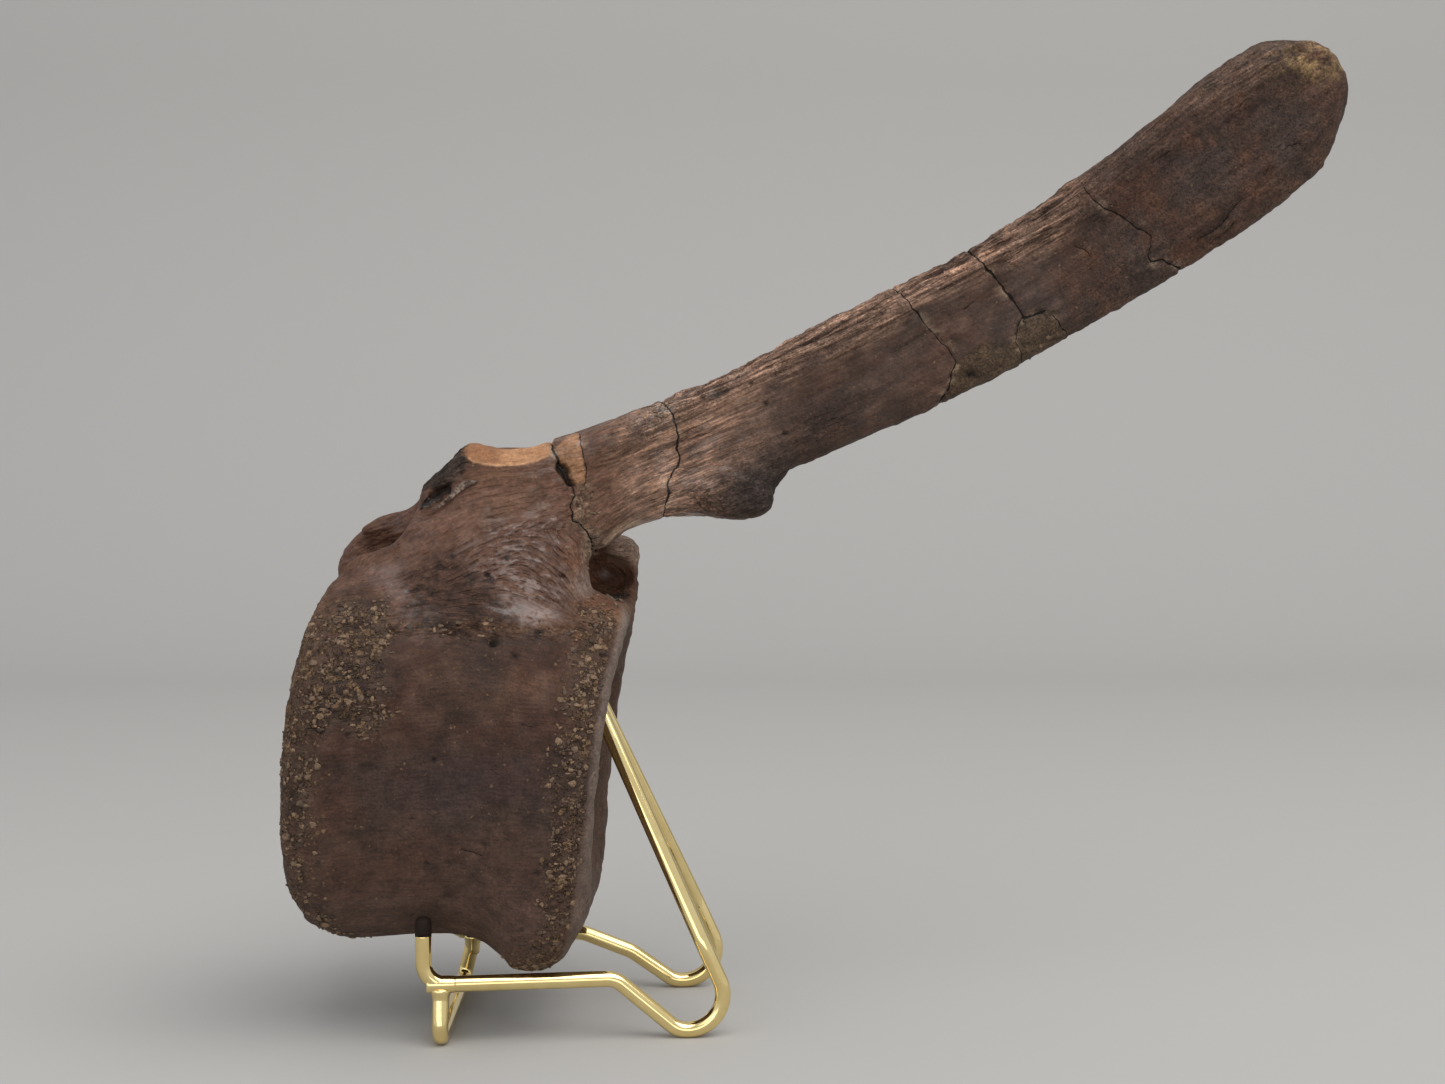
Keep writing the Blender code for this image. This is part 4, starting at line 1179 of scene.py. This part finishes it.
# %% The look of the grains
sandy, surface, where = new_material("sandy_grains")
grit = noise(where, 2600.0, 3.0)
sand = blend(kept("tone"), (0.045, 0.026, 0.016), (0.220, 0.138, 0.078))
fill(surface, {"Base Color": tinted(sand, span(grit, 0.3, 0.7, 0.55, 1.3)),
               "Roughness": span(grit, 0.3, 0.7, 0.6, 0.9), "Normal": bump(grit, 0.0002, strength=0.6)})

print("material:", sandy.name)

# %% Scattering them
grains = add_object("crust_grains", bone.data.copy())
scatter = modifier(grains, "NODES", node_group=scatter_nodes)
choices = {"Per square metre": 2400000.0, "Least gap": 0.00044, "Size": 0.0013, "Seed": 4, "Look": sandy}
for socket in scatter.node_group.interface.items_tree:
    if socket.name in choices:
        scatter[socket.identifier] = choices[socket.name]
bake_modifiers(grains)
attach(grains, "root")
print("grain triangles:", triangles(grains))

# %% [markdown]
# ## The splinter
#
# At the broken front of the arch one thin sliver of bone has lifted and stands clear of the dark slit
# behind it. The big skin is one closed sheet and can't part along such a sliver, so it is a piece of its
# own: a strip with a face, a back and edges, fixed to the bone at its upper right end.

# %% The lifted sliver
# X, upper and lower Z, and how far it stands off the bone
SPLINTER = [(-53.6, 131.0, 130.4, 1.7), (-52.0, 132.1, 130.9, 1.8), (-50.4, 133.5, 131.7, 1.8),
            (-48.9, 135.2, 132.7, 1.7), (-47.6, 136.9, 133.7, 1.5), (-46.3, 138.2, 134.8, 1.3),
            (-45.0, 138.8, 135.8, 1.0), (-43.4, 138.9, 136.8, 0.6), (-41.6, 138.6, 137.8, 0.1)]
near_side = np.flatnonzero(FACING > 0.3)
corners = []
for x, upper, lower, off in SPLINTER:
    closest = near_side[np.argmin(np.hypot(X[near_side] - x, Z[near_side] - (upper + lower) / 2))]
    face = Y[closest] - off
    corners += [(x, face - 0.2, upper), (x + 0.2, face - 0.45, (upper + lower) / 2), (x, face - 0.1, lower),
                (x, face + 0.35, (upper + lower) / 2)]
quads = [(4 * i + a, 4 * i + (a + 1) % 4, 4 * i + 4 + (a + 1) % 4, 4 * i + 4 + a)
         for i in range(len(SPLINTER) - 1) for a in range(4)]
quads += [(3, 2, 1, 0), tuple(range(len(corners) - 4, len(corners)))]
print("corners of the sliver:", len(corners))

# %% From strip to piece
mesh = bpy.data.meshes.new("splinter")
mesh.from_pydata(np.array(corners) + SHIFT, [], quads)
splinter = add_object("splinter", mesh)
modifier(splinter, "SUBSURF", levels=3, render_levels=3)
bake_modifiers(splinter)
sliver, outward = read_points(splinter.data)
sliver += outward * (0.26 * hills(sliver, 1.0, 91, 2))[:, None]
place(splinter.data, sliver)
splinter.data.shade_smooth()
plain = np.ones((len(sliver), 3))
paler = (1 + 0.5 * hills(sliver, 2, 92))[:, None]
store(splinter.data, "stain", plain * (0.19, 0.140, 0.110) * paler, "FLOAT_COLOR")
store(splinter.data, "flow", plain * (0.8 * MM, 0, 0.6 * MM))
store(splinter.data, "region", plain * (0, 1, 0))
store(splinter.data, "granular", plain[:, 0], "FLOAT")
store(splinter.data, "line", plain * (FAR_OFF, FAR_OFF, 0))
splinter.data.materials.append(fossil)
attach(splinter, "root")
print("splinter points:", len(sliver))

# %% [markdown]
# ## Drawn and bent wire
#
# The wire was drawn through a die, so its section is a true circle, and it was bent cold, which leaves the
# faintest waves along it. A curve with a round bevel would give nearly the same. Carrying a ring of points
# along the path without twisting also allows the waves, the swelling that the solder needs, and the flat
# that the table has worn. Nothing goes below the table.

# %% A tube along a path
SIDES_OF_WIRE = 28


def sweep(name, path, radius, wave=0.0):
    """A closed tube along a path. The radius may change from point to point."""
    sides = SIDES_OF_WIRE
    radius = np.broadcast_to(radius, len(path)).astype(float)
    ahead = np.gradient(path, axis=0)
    ahead /= np.linalg.norm(ahead, axis=1)[:, None]
    side = np.cross(ahead[0], (0.0, 0.0, 1.0) if abs(ahead[0][2]) < 0.9 else (1.0, 0.0, 0.0))
    angles = np.arange(sides) * 2 * math.pi / sides
    rings = []
    for centre, along, reach in zip(path, ahead, radius):
        side = side - along * side.dot(along)
        side /= np.linalg.norm(side)
        other = np.cross(along, side)
        rings.append(centre + reach * (np.cos(angles)[:, None] * side + np.sin(angles)[:, None] * other))
    points = np.concatenate(rings)
    if wave:
        outward = points - np.repeat(path, sides, axis=0)
        points += outward * (wave * hills(points, 14, 81))[:, None]
    points[:, 2] = np.maximum(points[:, 2], 0.0)
    faces = []
    for ring in range(len(path) - 1):
        for step in range(sides):
            a, b = ring * sides + step, ring * sides + (step + 1) % sides
            faces.append((a, b, b + sides, a + sides))
    faces += [tuple(range(sides))[::-1], tuple(range(len(points) - sides, len(points)))]
    mesh = bpy.data.meshes.new(name)
    mesh.from_pydata((points + SHIFT) * MM, [], faces)
    mesh.shade_smooth()
    return add_object(name, mesh)


print("sides of the wire:", SIDES_OF_WIRE)

# %% Stand and front foot
stand = sweep("stand_wire_bent", STAND_PATH, WIRE_RADIUS, wave=0.006)
foot = sweep("front_foot_bent", FOOT_PATH, WIRE_RADIUS, wave=0.006)
print("stand wire length, mm:", round(float(np.linalg.norm(np.diff(STAND_PATH, axis=0), axis=1).sum())))

# %% [markdown]
# ## Solder and dark caps
#
# The legs of the front bar are soldered under the rails. Molten solder climbs a little way round both
# wires and freezes as a smooth saddle. The upper ends of the two hooks are dull and dark, each under a
# sleeve that ends in a rounded top. Both could be sculpted, but both are only round skins of changing
# thickness over a wire, so the same sweep makes them.

# %% Solder
def solder(label, leg_foot, leg_top, rail_start, rail_end):
    """A swollen collar at the top of a leg, and a thin skin of solder along the rail above it."""
    share = np.array([0, 0.25, 0.5, 0.68, 0.82, 0.92, 1.0])[:, None]
    leg = np.array(leg_foot) * (1 - share) + np.array(leg_top) * share
    collar = sweep(f"solder_leg_{label}", leg, [2.0, 2.05, 2.14, 2.32, 2.6, 2.62, 2.1], wave=0.03)
    share = np.linspace(0, 1, 15)[:, None]
    rail = np.array(rail_start) * (1 - share) + np.array(rail_end) * share
    skin = sweep(f"solder_rail_{label}", rail, 1.98 + 0.20 * np.sin(np.pi * share[:, 0]) ** 0.6, wave=0.03)
    return [collar, skin]


beads = solder("near", (-50, -28.4, 9), (-50, -28.15, 14.2), (-53.4, -28.44, 15), (-46.2, -27.8, 15))
beads += solder("far", (-47.2, 27.9, 9), (-46.9, 27.75, 14.2), (-50.6, 28.13, 15), (-43.2, 27.36, 15))
print("solder:", [bead.name for bead in beads])

# %% Caps on the hooks
CAP_TOP = 31.9


def hook_cap(label, hook_y):
    """A coat over the end of a hook, from its lower rim to a domed top."""
    heights = [27.2, *np.linspace(28.0, CAP_TOP - 1.3, 9)[1:]]
    heights += [heights[-1] + rise for rise in (0.45, 0.8, 1.05, 1.22, 1.3)]
    swell = [2.02, 2.07, 2.1, 2.1, 2.1, 2.08, 2.06, 2.02, 1.96, 1.85, 1.6, 1.2, 0.7, 0.12]
    return sweep(f"hook_cap_{label}", np.array([(HOOK_X, hook_y, height) for height in heights]), swell)


caps = [hook_cap("near", -HOOK_HALF_WIDTH), hook_cap("far", HOOK_HALF_WIDTH)]
print("caps:", [cap.name for cap in caps])

# %% [markdown]
# ## Brass and coating
#
# Lacquered brass mirrors the room, so it needs a full metal surface and little roughness; painted yellow
# it would look like plastic. Its own colour is a pale greenish gold. A few dull fingermarks and the first
# brown freckles of tarnish tell the eye that it is old. The coating on the hooks is the opposite: dark,
# soft and dull.

# %% Polished brass
brass, surface, where = new_material("polished_brass")
tarnish = effect(MOTTLE, where, 75.0, Strength=0.30)["Factor"]
freckle = effect(SPECKLE, where, 520.0, Amount=0.08)["Mask"]
smudge = noise(where, 160.0, 4.0, 0.6)
gold = blend(span(tarnish, 0.8, 1.25), (0.90, 0.725, 0.345), (0.80, 0.615, 0.265))
fill(surface, {"Base Color": blend(freckle * 0.5, gold, (0.30, 0.19, 0.08)), "Metallic": 1.0,
               "Roughness": span(smudge, 0.35, 0.75, 0.06, 0.16) + freckle * 0.25,
               "Normal": bump(smudge, 0.0003, strength=0.08)})

print("nodes in the brass:", len(TREE.nodes))

# %% Dark coating
coating, surface, where = new_material("dark_cap")
bumpy = noise(where, 900.0, 4.0, 0.6)
fill(surface, {"Base Color": blend(bumpy, (0.009, 0.005, 0.003), (0.018, 0.010, 0.007)),
               "Roughness": span(bumpy, 0.3, 0.7, 0.55, 0.75), "Specular IOR Level": 0.15,
               "Normal": bump(bumpy, 0.0003, strength=0.35)})
print("nodes in the coating:", len(TREE.nodes))


# %% Each piece and its finish
def shade(obj, material, node_name):
    """Gives a piece its material and its place in the part, and hides the solid of the part it stands for.
    """
    obj.data.materials.clear()
    obj.data.materials.append(material)
    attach(obj, "root")
    if node_name:
        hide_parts(node_name)


shade(stand, brass, "stand_wire")
shade(foot, brass, "front_foot")
for bead in beads:
    shade(bead, brass, None)
shade(caps[0], coating, "hook_tip_near")
shade(caps[1], coating, "hook_tip_far")

# %% [markdown]
# ## A pale studio
#
# The sweep is one light grey sheet: a flat floor would show its far edge, so it curves up into the
# background. A broad soft lamp hangs above, to the right and a little in front, because small lamps would
# put hard dots on the brass, and the pale room fills the shadows. The camera stands half a metre away at
# the height of the spine's root, and looks slightly down.

# %% Floor and background
def make_sweep():
    """Floor and background in one curved sheet."""
    wide, front, back, bend, tall = 3000, -1400, 1300, 500, 1800
    angles = [math.pi / 2 * i / 24 for i in range(25)]
    curve = [(back - bend + bend * math.sin(a), bend - bend * math.cos(a)) for a in angles]
    profile = [(front, 0.0), *curve, (back, tall)]
    points = [(x * MM, y * MM, z * MM) for y, z in profile for x in (-wide, wide)]
    faces = [(2 * i, 2 * i + 1, 2 * i + 3, 2 * i + 2) for i in range(len(profile) - 1)]
    mesh = bpy.data.meshes.new("studio_sweep")
    mesh.from_pydata(points, [], faces)
    mesh.shade_smooth()
    return add_object("studio_sweep", mesh)


floor = make_sweep()
paper, surface, _ = new_material("pale_paper")
fill(surface, {"Base Color": (0.42, 0.41, 0.39, 1), "Roughness": 0.75})
floor.data.materials.append(paper)
floor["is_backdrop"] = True
print("stage:", floor.name)


# %% Lamps and room
def soft_lamp(name, stand_at, aim, size, watts, colour):
    """A wide flat lamp that shines from one point towards another."""
    lamp = bpy.data.lights.new(name, "AREA")
    lamp.shape, lamp.size, lamp.size_y = "RECTANGLE", size[0], size[1]
    lamp.energy, lamp.color = watts, colour
    obj = add_object(name, lamp)
    obj.location = stand_at
    obj.rotation_euler = (Vector(aim) - Vector(stand_at)).to_track_quat("-Z", "Y").to_euler()


soft_lamp("overhead", (0.5, -0.65, 1.65), (0, 0, 0.1), (1.9, 1.5), 25, (1.0, 0.985, 0.96))
soft_lamp("side_fill", (-0.9, -0.9, 0.7), (0, 0, 0.12), (0.9, 0.9), 2.0, (0.97, 0.98, 1.0))
soft_lamp("low_front", (-0.2, -1.5, 0.25), (0, 0, 0.05), (1.8, 0.5), 3.6, (1.0, 0.99, 0.97))
world = bpy.data.worlds.new("pale_room")
scene.world = world
world.use_nodes = True
room = world.node_tree.nodes["Background"].inputs
room["Color"].default_value, room["Strength"].default_value = (0.93, 0.95, 1.0, 1), 0.72
scene.view_settings.view_transform = "Standard"

# %% Camera
# The photograph is 1445 pixels wide, and a length equal to the viewing distance covers 1950 of them.
PICTURE_WIDTH, FOCAL_PIXELS, FILM_WIDTH = 1445, 1950, 36.0
EYE, LOOK = (0, -504.2, 141), (78.5, FOCAL_PIXELS, -72)
lens = bpy.data.cameras.new("camera")
lens.sensor_width, lens.lens = FILM_WIDTH, FILM_WIDTH * FOCAL_PIXELS / PICTURE_WIDTH
lens.clip_start, lens.clip_end = 0.05, 20
camera = add_object("camera", lens)
camera.location = (np.array(EYE) + SHIFT) * MM
camera.rotation_euler = Vector(LOOK).to_track_quat("-Z", "Y").to_euler()
scene.camera = camera
print("camera at", [round(c, 4) for c in camera.location], " lens mm:", round(lens.lens, 2))

# %% [markdown]
# ## Last checks
#
# The finished look should fill the same box as the solids of the part.

# %% Sizes before and after
size_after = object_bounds()
for label, (low, high) in (("before", size_before), ("after", size_after)):
    print(label, "mm:", [round((h - l) / MM, 1) for l, h in zip(low, high)])
